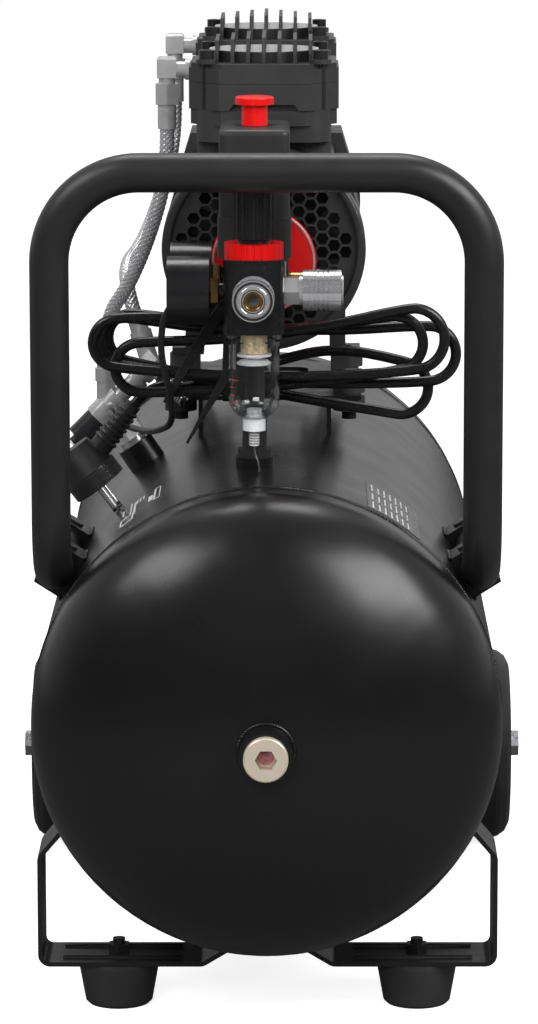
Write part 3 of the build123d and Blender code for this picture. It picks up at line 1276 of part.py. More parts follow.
HANK_OUTLINE = [      # x and height, seen from the front
    (-115.0, 424.0), (-98.0, 438.0), (-60.0, 443.0), (0.0, 446.0), (60.0, 451.0), (100.0, 452.0),
    (121.0, 440.0), (124.0, 422.0), (112.0, 392.0), (92.0, 381.0), (40.0, 388.0), (-40.0, 392.0),
    (-70.0, 390.0), boot_lip(1), boot_lip(-1), (-107.0, 407.0),
]
with BuildPart() as cord_hank:
    with BuildSketch(Plane.XZ.offset(-HANK_Y[0])):
        with BuildLine():
            Polyline(*HANK_OUTLINE, close=True)
        make_face()
    extrude(amount=HANK_Y[0] - HANK_Y[1])
    chamfer(cord_hank.edges().group_by(Axis.Y)[0], 8.0)
cord_hank.part.label = "cord_hank"
export_step(cord_hank.part, "parts/cord_hank.step")

HANK_TOP_AT_GLAND = 446.0 + (451.0 - 446.0) * GLAND_AT[0] / 60.0
with BuildPart() as cord_at_switch:
    with BuildSketch(Plane.XY.offset(HANK_TOP_AT_GLAND + 0.3)):
        with Locations(GLAND_AT):
            Circle(CORD_R)
    extrude(amount=GLAND_Z - HANK_TOP_AT_GLAND - 0.3)
cord_at_switch.part.label = "cord_at_switch"
export_step(cord_at_switch.part, "parts/cord_at_switch.step")
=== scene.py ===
"""Looks of the portable air compressor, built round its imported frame.

Shapes are written in millimetres and turned to metres by place() and its helpers.  +Z is up and the
filter regulator end faces -Y.
"""
import json
import math

import bpy
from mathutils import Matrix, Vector


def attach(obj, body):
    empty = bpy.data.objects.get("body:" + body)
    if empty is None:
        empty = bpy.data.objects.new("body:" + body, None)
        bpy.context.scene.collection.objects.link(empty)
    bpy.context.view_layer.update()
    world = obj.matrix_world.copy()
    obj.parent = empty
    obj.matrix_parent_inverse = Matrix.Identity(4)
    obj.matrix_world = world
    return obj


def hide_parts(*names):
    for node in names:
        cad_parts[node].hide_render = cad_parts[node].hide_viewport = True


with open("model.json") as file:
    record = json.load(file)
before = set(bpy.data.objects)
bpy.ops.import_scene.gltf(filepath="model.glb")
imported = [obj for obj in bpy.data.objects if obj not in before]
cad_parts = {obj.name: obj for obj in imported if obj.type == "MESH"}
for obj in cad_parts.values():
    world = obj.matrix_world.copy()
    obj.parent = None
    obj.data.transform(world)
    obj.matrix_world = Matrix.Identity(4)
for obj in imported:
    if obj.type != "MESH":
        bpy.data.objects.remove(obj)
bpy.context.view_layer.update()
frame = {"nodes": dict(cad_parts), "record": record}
scene = bpy.context.scene
MM = 0.001

# driving places, the same as the design's
TANK_R = 150.0
AXIS_Z = 203.5
SEAM_Y = 292.0
MOTOR_X = -3.0
CYLINDER_YS = (-67.0, 143.0)
BADGE_AT = (MOTOR_X, -134.0, 478.0)
AIR_X, AIR_Z = -8.4, 472.6
REG_Y = -240.0
GAUGE_YS = (-240.0, -162.0)
DIAL_X = -57.0
WHEEL_Y, WHEEL_Z = 218.0, 70.5
VALVE_Y = -38.0
SOCKET_FLOOR_Y = 403.0
FIN_PITCH = 10.4
PAD_TOP = 614.0
SWITCH_KNOB_Y, SWITCH_TOP = -178.0, 573.05
BOSS_Y = 388.7          # where a boss stands on the dished end
SADDLE_YS = (-226.0, -140.0)
SADDLE_HALF = 15.0
HANDLE_X, HANDLE_BACK_Y, HANDLE_Z = 137.5, -110.0, 291.5
TREAD_R = 70.1
PRINT_LIFT = 0.12       # height of printed marks above the tank
UP = (0, 0, 1)
WHITE_LIGHT = (1.0, 1.0, 1.0, 1.0)


def place(x, y, z):
    """A point given in millimetres, in metres."""
    return Vector((x * MM, y * MM, z * MM))


# ---------------------------------------------------------------- camera
def make_camera():
    """Front view from a little above the tank."""
    data = bpy.data.cameras.new("camera")
    data.sensor_fit = "VERTICAL"
    data.sensor_height = 36.0
    data.lens = 164.36
    data.shift_x = -0.0298
    data.dof.use_dof = False
    camera = bpy.data.objects.new("camera", data)
    camera.location = (0.0208, -3.2158, 0.8567)
    camera.rotation_euler = (math.radians(79.93), 0.0, 0.0)
    scene.collection.objects.link(camera)
    scene.camera = camera


make_camera()


# ---------------------------------------------------------------- materials
def noise(tree, coords, scale, detail=3.0):
    """Noise texture over the coordinates."""
    node = tree.nodes.new("ShaderNodeTexNoise")
    node.inputs["Scale"].default_value = scale
    node.inputs["Detail"].default_value = detail
    tree.links.new(coords, node.inputs["Vector"])
    return node.outputs["Fac"]


def remap(tree, value, low, high):
    """Spreads a noise value, which lies mostly between 0.3 and 0.7, over low to high."""
    node = tree.nodes.new("ShaderNodeMapRange")
    node.inputs["From Min"].default_value = 0.3
    node.inputs["From Max"].default_value = 0.7
    node.inputs["To Min"].default_value = low
    node.inputs["To Max"].default_value = high
    tree.links.new(value, node.inputs["Value"])
    return node.outputs["Result"]


def blend_colours(tree, amount, first, second):
    """Mix of two colours by an amount from 0 to 1."""
    node = tree.nodes.new("ShaderNodeMix")
    node.data_type = "RGBA"
    tree.links.new(amount, node.inputs[0])
    for socket, colour in ((6, first), (7, second)):
        node.inputs[socket].default_value = (*colour, 1.0)
    return node.outputs[2]


def surface(name, colour, rough, metal=0.0, mottle=0.12, patch=30.0, spread=0.05, grain=1500.0,
            relief=0.03, stretch=(1.0, 1.0, 1.0), second=None, coat=0.0):
    """Material whose colour, roughness and fine relief (in mm) all vary over the surface."""
    material = bpy.data.materials.new(name)
    material.use_nodes = True
    tree = material.node_tree
    shader = tree.nodes["Principled BSDF"]
    coords = tree.nodes.new("ShaderNodeTexCoord").outputs["Object"]
    mapping = tree.nodes.new("ShaderNodeMapping")
    mapping.inputs["Scale"].default_value = stretch
    tree.links.new(coords, mapping.inputs["Vector"])
    darker = tuple(c * (1.0 - mottle) for c in colour)
    lighter = second or tuple(min(1.0, c * (1.0 + mottle)) for c in colour)
    patches = remap(tree, noise(tree, coords, patch, 4.0), 0.0, 1.0)
    tree.links.new(blend_colours(tree, patches, darker, lighter), shader.inputs["Base Color"])
    polish = remap(tree, noise(tree, mapping.outputs["Vector"], patch * 3.1), rough - spread, rough + spread)
    tree.links.new(polish, shader.inputs["Roughness"])
    bump = tree.nodes.new("ShaderNodeBump")
    bump.inputs["Distance"].default_value = relief * MM
    tree.links.new(noise(tree, mapping.outputs["Vector"], grain), bump.inputs["Height"])
    tree.links.new(bump.outputs["Normal"], shader.inputs["Normal"])
    shader.inputs["Metallic"].default_value = metal
    shader.inputs["Coat Weight"].default_value = coat
    return material


def clear(name, colour, rough):
    """Clear moulded plastic or glass with faint flow marks."""
    material = surface(name, colour, rough, mottle=0.02, spread=0.02, grain=220.0, relief=0.01)
    shader = material.node_tree.nodes["Principled BSDF"]
    shader.inputs["Transmission Weight"].default_value = 1.0
    shader.inputs["IOR"].default_value = 1.46
    return material


BRUSHED_ROUND_X = (3.0, 0.15, 0.15)
BLACK = (0.0055, 0.0055, 0.0058)
paints = {
    "tank_paint": surface("tank_paint", BLACK, 0.29, patch=9.0, grain=420.0, relief=0.02, spread=0.025),
    "tube_paint": surface("tube_paint", (0.013, 0.013, 0.0135), 0.40, patch=20.0, grain=1300.0, relief=0.03),
    "bracket_paint": surface("bracket_paint", (0.010, 0.010, 0.0105), 0.33, patch=25.0, grain=1100.0,
                             relief=0.03),
    "yellow_zinc": surface("yellow_zinc", (0.66, 0.63, 0.44), 0.34, 0.3, second=(0.70, 0.58, 0.52),
                           patch=60.0, grain=900.0, relief=0.01),
    "zinc": surface("zinc", (0.55, 0.56, 0.58), 0.30, 1.0, patch=120.0, grain=1800.0, relief=0.01),
    "rubber": surface("rubber", (0.034, 0.034, 0.034), 0.52, patch=45.0, grain=2200.0, relief=0.04),
    "brass": surface("brass", (0.62, 0.40, 0.16), 0.24, 1.0, patch=140.0, grain=900.0, relief=0.01,
                     stretch=BRUSHED_ROUND_X),
    "cast_black": surface("cast_black", (0.030, 0.030, 0.031), 0.42, patch=35.0, grain=850.0,
                          relief=0.09, spread=0.07),
    "lamination_steel": surface("lamination_steel", (0.33, 0.33, 0.35), 0.42, 1.0, grain=900.0,
                                stretch=(0.05, 4.0, 0.05), relief=0.06),
    "black_screw": surface("black_screw", (0.022, 0.022, 0.024), 0.36, 0.4, patch=90.0),
    "bearing_steel": surface("bearing_steel", (0.6, 0.6, 0.62), 0.22, 1.0, patch=90.0, relief=0.01),
    "fan_plastic": surface("fan_plastic", (0.02, 0.02, 0.02), 0.5, patch=60.0),
    "cast_aluminium": surface("cast_aluminium", (0.62, 0.62, 0.63), 0.40, 1.0, grain=900.0, relief=0.06),
    "cover_plastic": surface("cover_plastic", (0.030, 0.030, 0.032), 0.36, patch=60.0, grain=1900.0,
                             relief=0.04),
    "red_plastic": surface("red_plastic", (0.70, 0.004, 0.004), 0.34, patch=70.0, grain=900.0,
                           relief=0.02, mottle=0.08),
    "nickel": surface("nickel", (0.60, 0.60, 0.60), 0.22, 0.55, patch=90.0, grain=900.0, relief=0.012),
    "chrome": surface("chrome", (0.80, 0.80, 0.82), 0.10, 0.8, patch=90.0, grain=800.0, relief=0.008,
                      mottle=0.03, spread=0.03),
    "steel_braid": surface("steel_braid", (0.66, 0.66, 0.68), 0.26, 0.7, patch=260.0, grain=2600.0,
                           relief=0.03),
    "black_anodised": surface("black_anodised", (0.020, 0.020, 0.022), 0.22, patch=80.0, grain=1500.0,
                              relief=0.02),
    "manifold_black": surface("manifold_black", (0.016, 0.016, 0.017), 0.40, grain=900.0, relief=0.06),
    "black_nylon": surface("black_nylon", (0.014, 0.014, 0.014), 0.30, patch=80.0, relief=0.01),
    "switch_plastic": surface("switch_plastic", (0.020, 0.020, 0.021), 0.42, patch=60.0, grain=2400.0,
                              relief=0.05),
    "gland_plastic": surface("gland_plastic", (0.016, 0.016, 0.016), 0.42, patch=80.0),
    "regulator_black": surface("regulator_black", (0.010, 0.010, 0.011), 0.24, patch=70.0, grain=700.0,
                               relief=0.02, coat=0.2),
    "knob_plastic": surface("knob_plastic", (0.013, 0.013, 0.013), 0.30, patch=70.0, grain=1900.0),
    "sintered_bronze": surface("sintered_bronze", (0.90, 0.64, 0.38), 0.62, 0.15, patch=420.0, grain=1500.0,
                               relief=0.35, mottle=0.3),
    "gauge_black": surface("gauge_black", (0.010, 0.010, 0.011), 0.22, patch=60.0, grain=900.0,
                           relief=0.02),
    "needle_red": surface("needle_red", (0.6, 0.02, 0.02), 0.4, patch=90.0),
    "wheel_plastic": surface("wheel_plastic", (0.017, 0.017, 0.018), 0.46, patch=35.0, grain=1500.0,
                             relief=0.06),
    "cord_rubber": surface("cord_rubber", (0.009, 0.009, 0.009), 0.26, patch=50.0, grain=1400.0,
                           relief=0.02, mottle=0.2),
    "plug_plastic": surface("plug_plastic", (0.013, 0.013, 0.013), 0.40, patch=60.0, grain=2000.0,
                            relief=0.05),
    "clear_bowl": clear("clear_bowl", (0.97, 0.98, 0.99), 0.03),
    "gauge_glass": clear("gauge_glass", (0.98, 0.98, 0.98), 0.02),
    "drain_plastic": surface("drain_plastic", (0.66, 0.67, 0.69), 0.25, patch=120.0, relief=0.02),
}
extra = {
    "white_print": surface("white_print", (0.72, 0.72, 0.70), 0.55, patch=300.0, mottle=0.18),
    "red_print": surface("red_print", (0.50, 0.02, 0.05), 0.5, patch=300.0, mottle=0.25),
    "red_zinc": surface("red_zinc", (0.42, 0.07, 0.09), 0.32, 0.3, second=(0.62, 0.32, 0.34), patch=260.0),
    "grey_print": surface("grey_print", (0.26, 0.26, 0.26), 0.5, patch=300.0, mottle=0.2),
    "label_film": surface("label_film", (0.030, 0.030, 0.031), 0.28, patch=60.0, relief=0.01),
    "dial_white": surface("dial_white", (0.82, 0.82, 0.80), 0.6, patch=70.0, mottle=0.04),
    "machined": surface("machined", (0.66, 0.66, 0.67), 0.36, 0.7, patch=110.0, grain=500.0,
                        stretch=(6.0, 0.3, 1.0), relief=0.02),
    "webbing": surface("webbing", (0.014, 0.014, 0.014), 0.78, patch=160.0, grain=1800.0, relief=0.35,
                       mottle=0.35),
    "white_nylon": surface("white_nylon", (0.85, 0.85, 0.84), 0.42, patch=120.0, mottle=0.04),
}

slot_of = {row["node"]: row["material_slot"] for row in frame["record"]["subparts"]}
for node_name, node in frame["nodes"].items():
    node.data.materials.clear()
    node.data.materials.append(paints[slot_of[node_name]])


# ---------------------------------------------------------------- mesh helpers
class Shape:
    """Vertices (in millimetres) and faces collected from several closed forms."""

    def __init__(self):
        self.verts = []
        self.faces = []

    def add(self, verts, faces):
        base = len(self.verts)
        self.verts.extend(verts)
        self.faces.extend([tuple(base + i for i in face) for face in faces])

    def piece(self, name, material, body="frame", slot=None, smooth=True):
        """Makes the object and lets it ride on a CAD body."""
        mesh = bpy.data.meshes.new(name)
        mesh.from_pydata([place(*v) for v in self.verts], [], self.faces)
        mesh.materials.append(material)
        mesh.polygons.foreach_set("use_smooth", [smooth] * len(mesh.polygons))
        obj = bpy.data.objects.new(name, mesh)
        scene.collection.objects.link(obj)
        if smooth:
            mesh.set_sharp_from_angle(angle=math.radians(38.0))
        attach(obj, body)
        return obj


def across(direction):
    """Two unit vectors square to a direction and to each other."""
    direction = Vector(direction).normalized()
    helper = Vector((0, 0, 1)) if abs(direction.z) < 0.9 else Vector((0, 1, 0))
    first = direction.cross(helper).normalized()
    return direction, first, direction.cross(first)


def grid_faces(rings, count, close_rings, cap):
    """Quads between rings of count points, with closed ends where asked."""
    faces = []
    spans = rings if close_rings else rings - 1
    for r in range(spans):
        a, b = r * count, ((r + 1) % rings) * count
        for i in range(count):
            j = (i + 1) % count
            faces.append((a + i, a + j, b + j, b + i))
    if cap:
        faces.append(tuple(reversed(range(count))))
        faces.append(tuple((rings - 1) * count + i for i in range(count)))
    return faces


def lathe(shape, profile, origin, direction, segments=64, closed=True, ripple=None):
    """Turns a profile of (radius, height) points about an axis.  closed joins its last point to the
    first, as for a ring; otherwise both ends are capped."""
    axis, first, second = across(direction)
    verts = []
    for index, (radius, height) in enumerate(profile):
        for i in range(segments):
            angle = 2 * math.pi * i / segments
            reach = radius + (ripple(index, angle) if ripple else 0.0)
            outward = first * math.cos(angle) + second * math.sin(angle)
            verts.append(tuple(Vector(origin) + axis * height + outward * reach))
    shape.add(verts, grid_faces(len(profile), segments, closed, not closed))


def ring_profile(radius, height, half_w, half_h, corner=0.3):
    """Rectangle with cut corners about (radius, height), for a lathe ring."""
    w, h, c = half_w, half_h, min(corner, half_w * 0.9, half_h * 0.9)
    outline = [(-w, -h + c), (-w + c, -h), (w - c, -h), (w, -h + c),
               (w, h - c), (w - c, h), (-w + c, h), (-w, h - c)]
    return [(radius + a, height + b) for a, b in outline]


def round_profile(radius, height, r, steps=10):
    """Circle of radius r about (radius, height), for a lathe ring."""
    return [(radius + r * math.cos(2 * math.pi * i / steps), height + r * math.sin(2 * math.pi * i / steps))
            for i in range(steps)]


def sweep(shape, points, radius, sides=12, closed=False, swell=None):
    """Round tube along points in millimetres.  swell(step, angle) changes its radius."""
    points = [Vector(p) for p in points]
    count = len(points)
    normal = across(points[1] - points[0])[1]
    verts = []
    for n, point in enumerate(points):
        before = points[(n - 1) % count] if closed or n else point
        after = points[(n + 1) % count] if closed or n < count - 1 else point
        tangent = (after - before).normalized()
        normal = (normal - tangent * normal.dot(tangent)).normalized()
        side = tangent.cross(normal)
        for i in range(sides):
            angle = 2 * math.pi * i / sides
            reach = radius + (swell(n, angle) if swell else 0.0)
            verts.append(tuple(point + (normal * math.cos(angle) + side * math.sin(angle)) * reach))
    shape.add(verts, grid_faces(count, sides, closed, not closed))


def ribbon(shape, points, widths, thickness, across_dir):
    """Flat strap with rounded edges along points; widths gives its width at each."""
    points = [Vector(p) for p in points]
    count = len(points)
    verts = []
    for n, point in enumerate(points):
        tangent = (points[min(n + 1, count - 1)] - points[max(n - 1, 0)]).normalized()
        wide = Vector(across_dir)
        wide = (wide - tangent * wide.dot(tangent)).normalized()
        thick = tangent.cross(wide)
        half = widths[n] / 2
        for a, b in ((-half, 0), (-half * 0.86, -0.5), (half * 0.86, -0.5), (half, 0), (half * 0.86, 0.5),
                     (-half * 0.86, 0.5)):
            verts.append(tuple(point + wide * a + thick * b * thickness))
    shape.add(verts, grid_faces(count, 6, False, True))


def shell_patch(shape, angle_from, angle_to, y_from, y_to, lift, thick=0.25):
    """Thin plate that follows the tank's round side; angles in degrees from +X towards +Z."""
    steps = max(2, int(abs(angle_to - angle_from) / 2.0) + 1)
    verts = []
    for n in range(steps + 1):
        angle = math.radians(angle_from + (angle_to - angle_from) * n / steps)
        for reach in (TANK_R + lift - thick, TANK_R + lift):
            for y in (y_from, y_to):
                verts.append((reach * math.cos(angle), y, AXIS_Z + reach * math.sin(angle)))
    faces = []
    for n in range(steps):
        a, b = 4 * n, 4 * (n + 1)
        for i, j in ((0, 1), (1, 3), (3, 2), (2, 0)):
            faces.append((a + i, a + j, b + j, b + i))
    last = 4 * steps
    faces += [(0, 2, 3, 1), (last, last + 1, last + 3, last + 2)]
    shape.add(verts, faces)


def block(shape, centre, size, corner=0.0):
    """Small box with its upright edges cut, centred on a point."""
    cx, cy, cz = centre
    hx, hy, hz = (s / 2 for s in size)
    c = min(corner, hx * 0.9, hy * 0.9)
    outline = [(-hx, -hy + c), (-hx + c, -hy), (hx - c, -hy), (hx, -hy + c), (hx, hy - c), (hx - c, hy),
               (-hx + c, hy), (-hx, hy - c)]
    if not c:
        outline = [(-hx, -hy), (hx, -hy), (hx, hy), (-hx, hy)]
    verts = [(cx + x, cy + y, cz + z) for z in (-hz, hz) for x, y in outline]
    shape.add(verts, grid_faces(2, len(outline), False, True))


# ---------------------------------------------------------------- splines
def nurbs(name, points, radius=0.0, sides=8):
    """A smooth line through space with these points as its control points, in metres."""
    data = bpy.data.curves.new(name, "CURVE")
    data.dimensions = "3D"
    data.resolution_u = 8
    spline = data.splines.new("NURBS")
    spline.points.add(len(points) - 1)
    for target, point in zip(spline.points, points):
        target.co = (*place(*point), 1.0)
    spline.order_u = 3
    spline.use_endpoint_u = True
    data.bevel_depth = radius * MM
    data.bevel_resolution = sides
    data.use_fill_caps = True
    obj = bpy.data.objects.new(name, data)
    scene.collection.objects.link(obj)
    return obj


def line_of(points, resolution):
    """Points in millimetres along the smooth line through a route's control points."""
    guide = nurbs("guide", points)
    guide.data.resolution_u = resolution
    mesh = bpy.data.meshes.new_from_object(guide)
    line = [tuple(v.co / MM) for v in mesh.vertices]
    bpy.data.meshes.remove(mesh)
    bpy.data.objects.remove(guide)
    return line


def evenly(points, step):
    """The same line with its points an even step apart."""
    points = [Vector(p) for p in points]
    lengths = [0.0]
    for a, b in zip(points, points[1:]):
        lengths.append(lengths[-1] + (b - a).length)
    count = max(2, round(lengths[-1] / step))
    made, at = [], 0
    for n in range(count + 1):
        target = lengths[-1] * n / count
        while at < len(points) - 2 and lengths[at + 1] < target:
            at += 1
        span = lengths[at + 1] - lengths[at]
        made.append(points[at].lerp(points[at + 1], (target - lengths[at]) / span if span else 0.0))
    return made


# ---------------------------------------------------------------- supply cord
CORD_R = 3.5
FOLD_STEPS = 6
TURNS = [
    # left fold: reach, height, half height; right fold: x and height of its middle, half height, tilt;
    # depth of the turn; how far its lower strand hangs
    ((-115.0, 430.5, 16.5), (95.5, 433.0, 21.0, 10.0), -183.0, -5.0),
    ((-101.0, 413.0, 17.0), (84.0, 429.0, 18.5, 14.0), -174.0, -3.0),
    ((-111.0, 429.0, 16.5), (105.5, 421.0, 19.0, 0.0), -165.0, -5.0),
    ((-106.0, 430.5, 16.5), (88.0, 397.0, 18.5, -25.0), -156.0, -2.0),
]
TOP_SAG = (-6.0, -9.0, -7.0)
CORD_START = [(8.0, -153.0, 474.0), (8.0, -153.0, 462.0), (6.0, -154.0, 451.0), (-6.0, -158.0, 445.0),
              (-40.0, -172.0, 445.5), (-70.0, -182.0, 447.5)]
CORD_END = [(44.0, -146.0, 423.0), (0.0, -146.5, 412.0), (-34.0, -147.0, 402.0), (-58.0, -149.0, 394.0),
            (-76.0, -154.0, 399.5), (-88.8, -154.0, 385.3)]


def fold(x, y, z, half, start_deg, end_deg):
    """Half turn of the cord, from one strand of the hank to the next."""
    made = []
    for n in range(FOLD_STEPS + 1):
        angle = math.radians(start_deg + (end_deg - start_deg) * n / FOLD_STEPS)
        made.append((x + half * math.cos(angle), y, z + half * math.sin(angle)))
    return made


def strand(start, end, sag):
    """Points of a strand between two folds, hanging a little."""
    made = []
    for share in (1 / 3, 2 / 3):
        x, y, z = (a + (b - a) * share for a, b in zip(start, end))
        made.append((x, y, z + sag))
    return made


def cord_route():
    """Gland, four turns of the hank, and down into the plug's boot."""
    route = list(CORD_START)
    for number, (left, right, y, low_sag) in enumerate(TURNS):
        reach, z, half = left
        left_points = fold(reach + half, y, z, half, 90.0, 270.0)
        x, z, half, tilt = right
        right_points = fold(x, y, z, half, -90.0 + tilt, 90.0 + tilt)
        if number:
            route += strand(route[-1], left_points[0], TOP_SAG[number - 1])
        route += left_points
        route += strand(left_points[-1], right_points[0], low_sag)
        route += right_points
    return route + CORD_END


power_cord = nurbs("power_cord", cord_route(), CORD_R, 6)
power_cord.data.materials.append(paints["cord_rubber"])
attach(power_cord, "frame")
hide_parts("cord_hank", "cord_at_switch")


# ---------------------------------------------------------------- plug
PLUG_FACE = Vector((-111.6, -154.0, 331.1))
PLUG_BACK = Vector((-0.6, 0.0, 0.8))
PLUG_SIDE = Vector((0.8, 0.0, 0.6))
BOOT_DIR = Vector((0.62, 0.0, 0.7846))


def plug_ribs():
    """Ribs round the strain relief and grip ridges on the plug's back."""
    ribs = Shape()
    boot_start = PLUG_FACE + PLUG_BACK * 20.0 + PLUG_SIDE * 14.0
    for n in range(7):
        height = 8.0 + 4.0 * n
        radius = 7.6 - 0.26 * n
        lathe(ribs, ring_profile(radius - 1.2, height, 2.0, 1.1, 0.6), boot_start, BOOT_DIR, 36)
    made = ribs.piece("plug_boot_ribs", paints["plug_plastic"], slot="plug_plastic")
    ridges = Shape()
    for n in range(8):
        lathe(ridges, ring_profile(18.4, 1.2 + 1.3 * n, 0.45, 0.35, 0.25), PLUG_FACE, PLUG_BACK, 64)
    return made, ridges.piece("plug_grip_ridges", paints["plug_plastic"], slot="plug_plastic")


boot_ribs, grip_ridges = plug_ribs()
pins = Shape()
for side in (-1, 1):
    foot = PLUG_FACE + Vector((0, side * 9.5, 0))
    lathe(pins, [(0.4, 19.0), (1.6, 19.0), (2.3, 18.2), (2.42, 16.5), (2.42, 0.5), (0.4, 0.5)], foot,
          -PLUG_BACK, 28)
plug_pins = pins.piece("plug_pins", paints["chrome"], slot="plug_plastic")


# ---------------------------------------------------------------- straps that tie the hank
def cord_straps():
    """Strap wrapped round the hank, and its two loose tails."""
    straps = Shape()
    tail_wide = (0.9, 0, 0.45)
    tail = line_of([(-22.0, -193.0, 462.0), (-30.0, -196.0, 456.0), (-44.0, -191.5, 432.0),
                    (-58.0, -190.5, 409.0), (-67.0, -190.0, 392.0)], 8)
    ribbon(straps, tail, [8.0 * (1.0 - 0.6 * (n / len(tail)) ** 3) for n in range(len(tail))], 2.2, tail_wide)
    second = line_of([(-18.0, -189.0, 425.0), (-24.0, -190.5, 414.0), (-40.0, -190.0, 388.0),
                      (-53.0, -189.5, 365.0)], 8)
    ribbon(straps, second, [9.5 * (1.0 - 0.85 * n / len(second)) for n in range(len(second))], 1.6, tail_wide)
    wrap = line_of([(-24.0, -160.0, 452.5), (-22.0, -186.0, 451.5), (-23.0, -190.5, 436.0),
                    (-24.0, -190.0, 405.0), (-24.0, -184.0, 391.0), (-24.0, -150.0, 390.0),
                    (-24.0, -133.0, 396.0),
                    (-24.0, -132.0, 445.0), (-24.0, -140.0, 452.0), (-24.0, -160.0, 452.5)], 8)
    ribbon(straps, wrap, [12.0] * len(wrap), 1.2, (1, 0, 0))
    straps.piece("cord_straps", extra["webbing"], slot="cord_rubber")


cord_straps()


# ---------------------------------------------------------------- braided hoses
HOSE_R = 5.0
BRAID_STRANDS = 8
BRAID_LIFT = 0.8
HOSE_A_ROUTE = [(-68.5, -67.0, 560.0), (-68.5, -67.0, 532.0), (-78.5, -62.0, 493.0), (-95.0, -50.0, 452.0),
                (-112.0, -38.0, 428.0), (-112.0, -38.0, 403.0)]
HOSE_B_ROUTE = [(-68.5, 143.0, 560.0), (-68.5, 143.0, 534.0), (-76.0, 122.0, 503.0), (-84.5, 84.0, 479.0),
                (-92.5, 46.0, 464.0), (-98.5, 10.0, 461.0), (-99.3, -20.0, 449.6), (-91.5, -27.8, 426.1)]


def braid_height(along_share, angle):
    """Height of the weave: two families of strands that pass over and under each other."""
    s = BRAID_STRANDS * angle / (2 * math.pi) + along_share
    t = BRAID_STRANDS * angle / (2 * math.pi) - along_share
    over = (math.floor(s) + math.floor(t)) % 2
    run, width = (s % 1.0, t % 1.0) if over else (t % 1.0, s % 1.0)
    return (0.3 + 0.7 * math.sin(math.pi * run)) * math.sqrt(max(0.0, 1.0 - (2 * width - 1) ** 2))


def braid(shape, route, sides=64, step=0.5):
    """Woven hose along a route; step is the distance between its rings in mm."""
    line = evenly(line_of(route, 24), step)
    cell = 2 * math.pi * HOSE_R / BRAID_STRANDS * 0.95

    def swell(n, angle):
        return BRAID_LIFT * (braid_height(n * step / cell, angle) - 0.9)

    sweep(shape, line, HOSE_R, sides, swell=swell)


def hose_pieces():
    """Both hoses as one piece, in place of the plain tubes of the frame."""
    hoses = Shape()
    for route in (HOSE_A_ROUTE, HOSE_B_ROUTE):
        braid(hoses, route)
    made = hoses.piece("hose_braid", paints["steel_braid"], slot="steel_braid")
    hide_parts("braided_hoses")


hose_pieces()


# ---------------------------------------------------------------- tank: welds, marks and label
def weld_bead(shape, points, radius=1.5, pitch=1.7):
    """Bead of overlapping weld ripples along a line."""
    line = evenly(points, 0.5)
    sweep(shape, line, radius, 10,
          swell=lambda n, angle: 0.12 * math.sin(2 * math.pi * n * 0.5 / pitch) + 0.05 * math.sin(n * 1.9))


def circle(radius, origin, direction, count=96):
    """Points round a circle, the last on the first."""
    axis, first, second = across(direction)
    made = []
    for n in range(count + 1):
        angle = 2 * math.pi * n / count
        made.append(Vector(origin) + (first * math.cos(angle) + second * math.sin(angle)) * radius)
    return made


def tank_welds():
    """Beads round the seams, the bosses and the feet of the handle saddles."""
    beads = Shape()
    for side in (-1, 1):
        weld_bead(beads, circle(TANK_R - 0.3, (0, side * SEAM_Y, AXIS_Z), (0, 1, 0), 220), 1.3)
        weld_bead(beads, circle(17.4, (0, side * BOSS_Y, AXIS_Z), (0, 1, 0), 60), 1.6)
        for degrees in (26.8, 38.4):
            angle = math.radians(degrees)
            at = ((TANK_R + 0.4) * math.cos(angle) * side, AXIS_Z + (TANK_R + 0.4) * math.sin(angle))
            for y in SADDLE_YS:
                line = [(at[0], y + along, at[1]) for along in (-SADDLE_HALF, 0.0, SADDLE_HALF)]
                weld_bead(beads, line, 1.4)
    beads.piece("tank_weld_beads", paints["tank_paint"], slot="tank_paint")


tank_welds()


def shell_frame(shape, angle_from, angle_to, y_from, y_to, line):
    """Outline drawn on the tank as four thin bars; line is its width in mm."""
    turn = math.degrees(line / TANK_R) * (1 if angle_to > angle_from else -1)
    shell_patch(shape, angle_from, angle_from + turn, y_from, y_to, PRINT_LIFT)
    shell_patch(shape, angle_to - turn, angle_to, y_from, y_to, PRINT_LIFT)
    for y in (y_from, y_to - line):
        shell_patch(shape, angle_from, angle_to, y, y + line, PRINT_LIFT)


def left_marks():
    """White printed bars on the tank's upper left, with no lettering."""
    white = Shape()
    shell_frame(white, 129.5, 125.4, -250.0, -228.0, 1.2)
    for degrees, start, end, height in ((129.0, -212.0, -194.0, 0.5), (126.5, -225.0, -186.0, 0.5),
                                        (125.3, -234.0, -191.0, 0.7), (124.7, -200.0, -187.0, 0.4),
                                        (123.8, -200.0, -187.0, 0.4), (122.8, -200.0, -187.0, 0.4),
                                        (119.5, -227.0, -187.0, 0.4)):
        shell_patch(white, degrees + height / 2, degrees - height / 2, start, end, PRINT_LIFT)
    for n in range(6):
        y = -222.0 + 3.0 * n
        shell_patch(white, 121.2, 119.9, y, y + 1.9, PRINT_LIFT)
    shell_frame(white, 119.4, 117.9, -226.0, -185.0, 0.6)
    white.piece("tank_marks_white", extra["white_print"], slot="tank_paint")


LABEL_Y = (-281.0, -182.0)


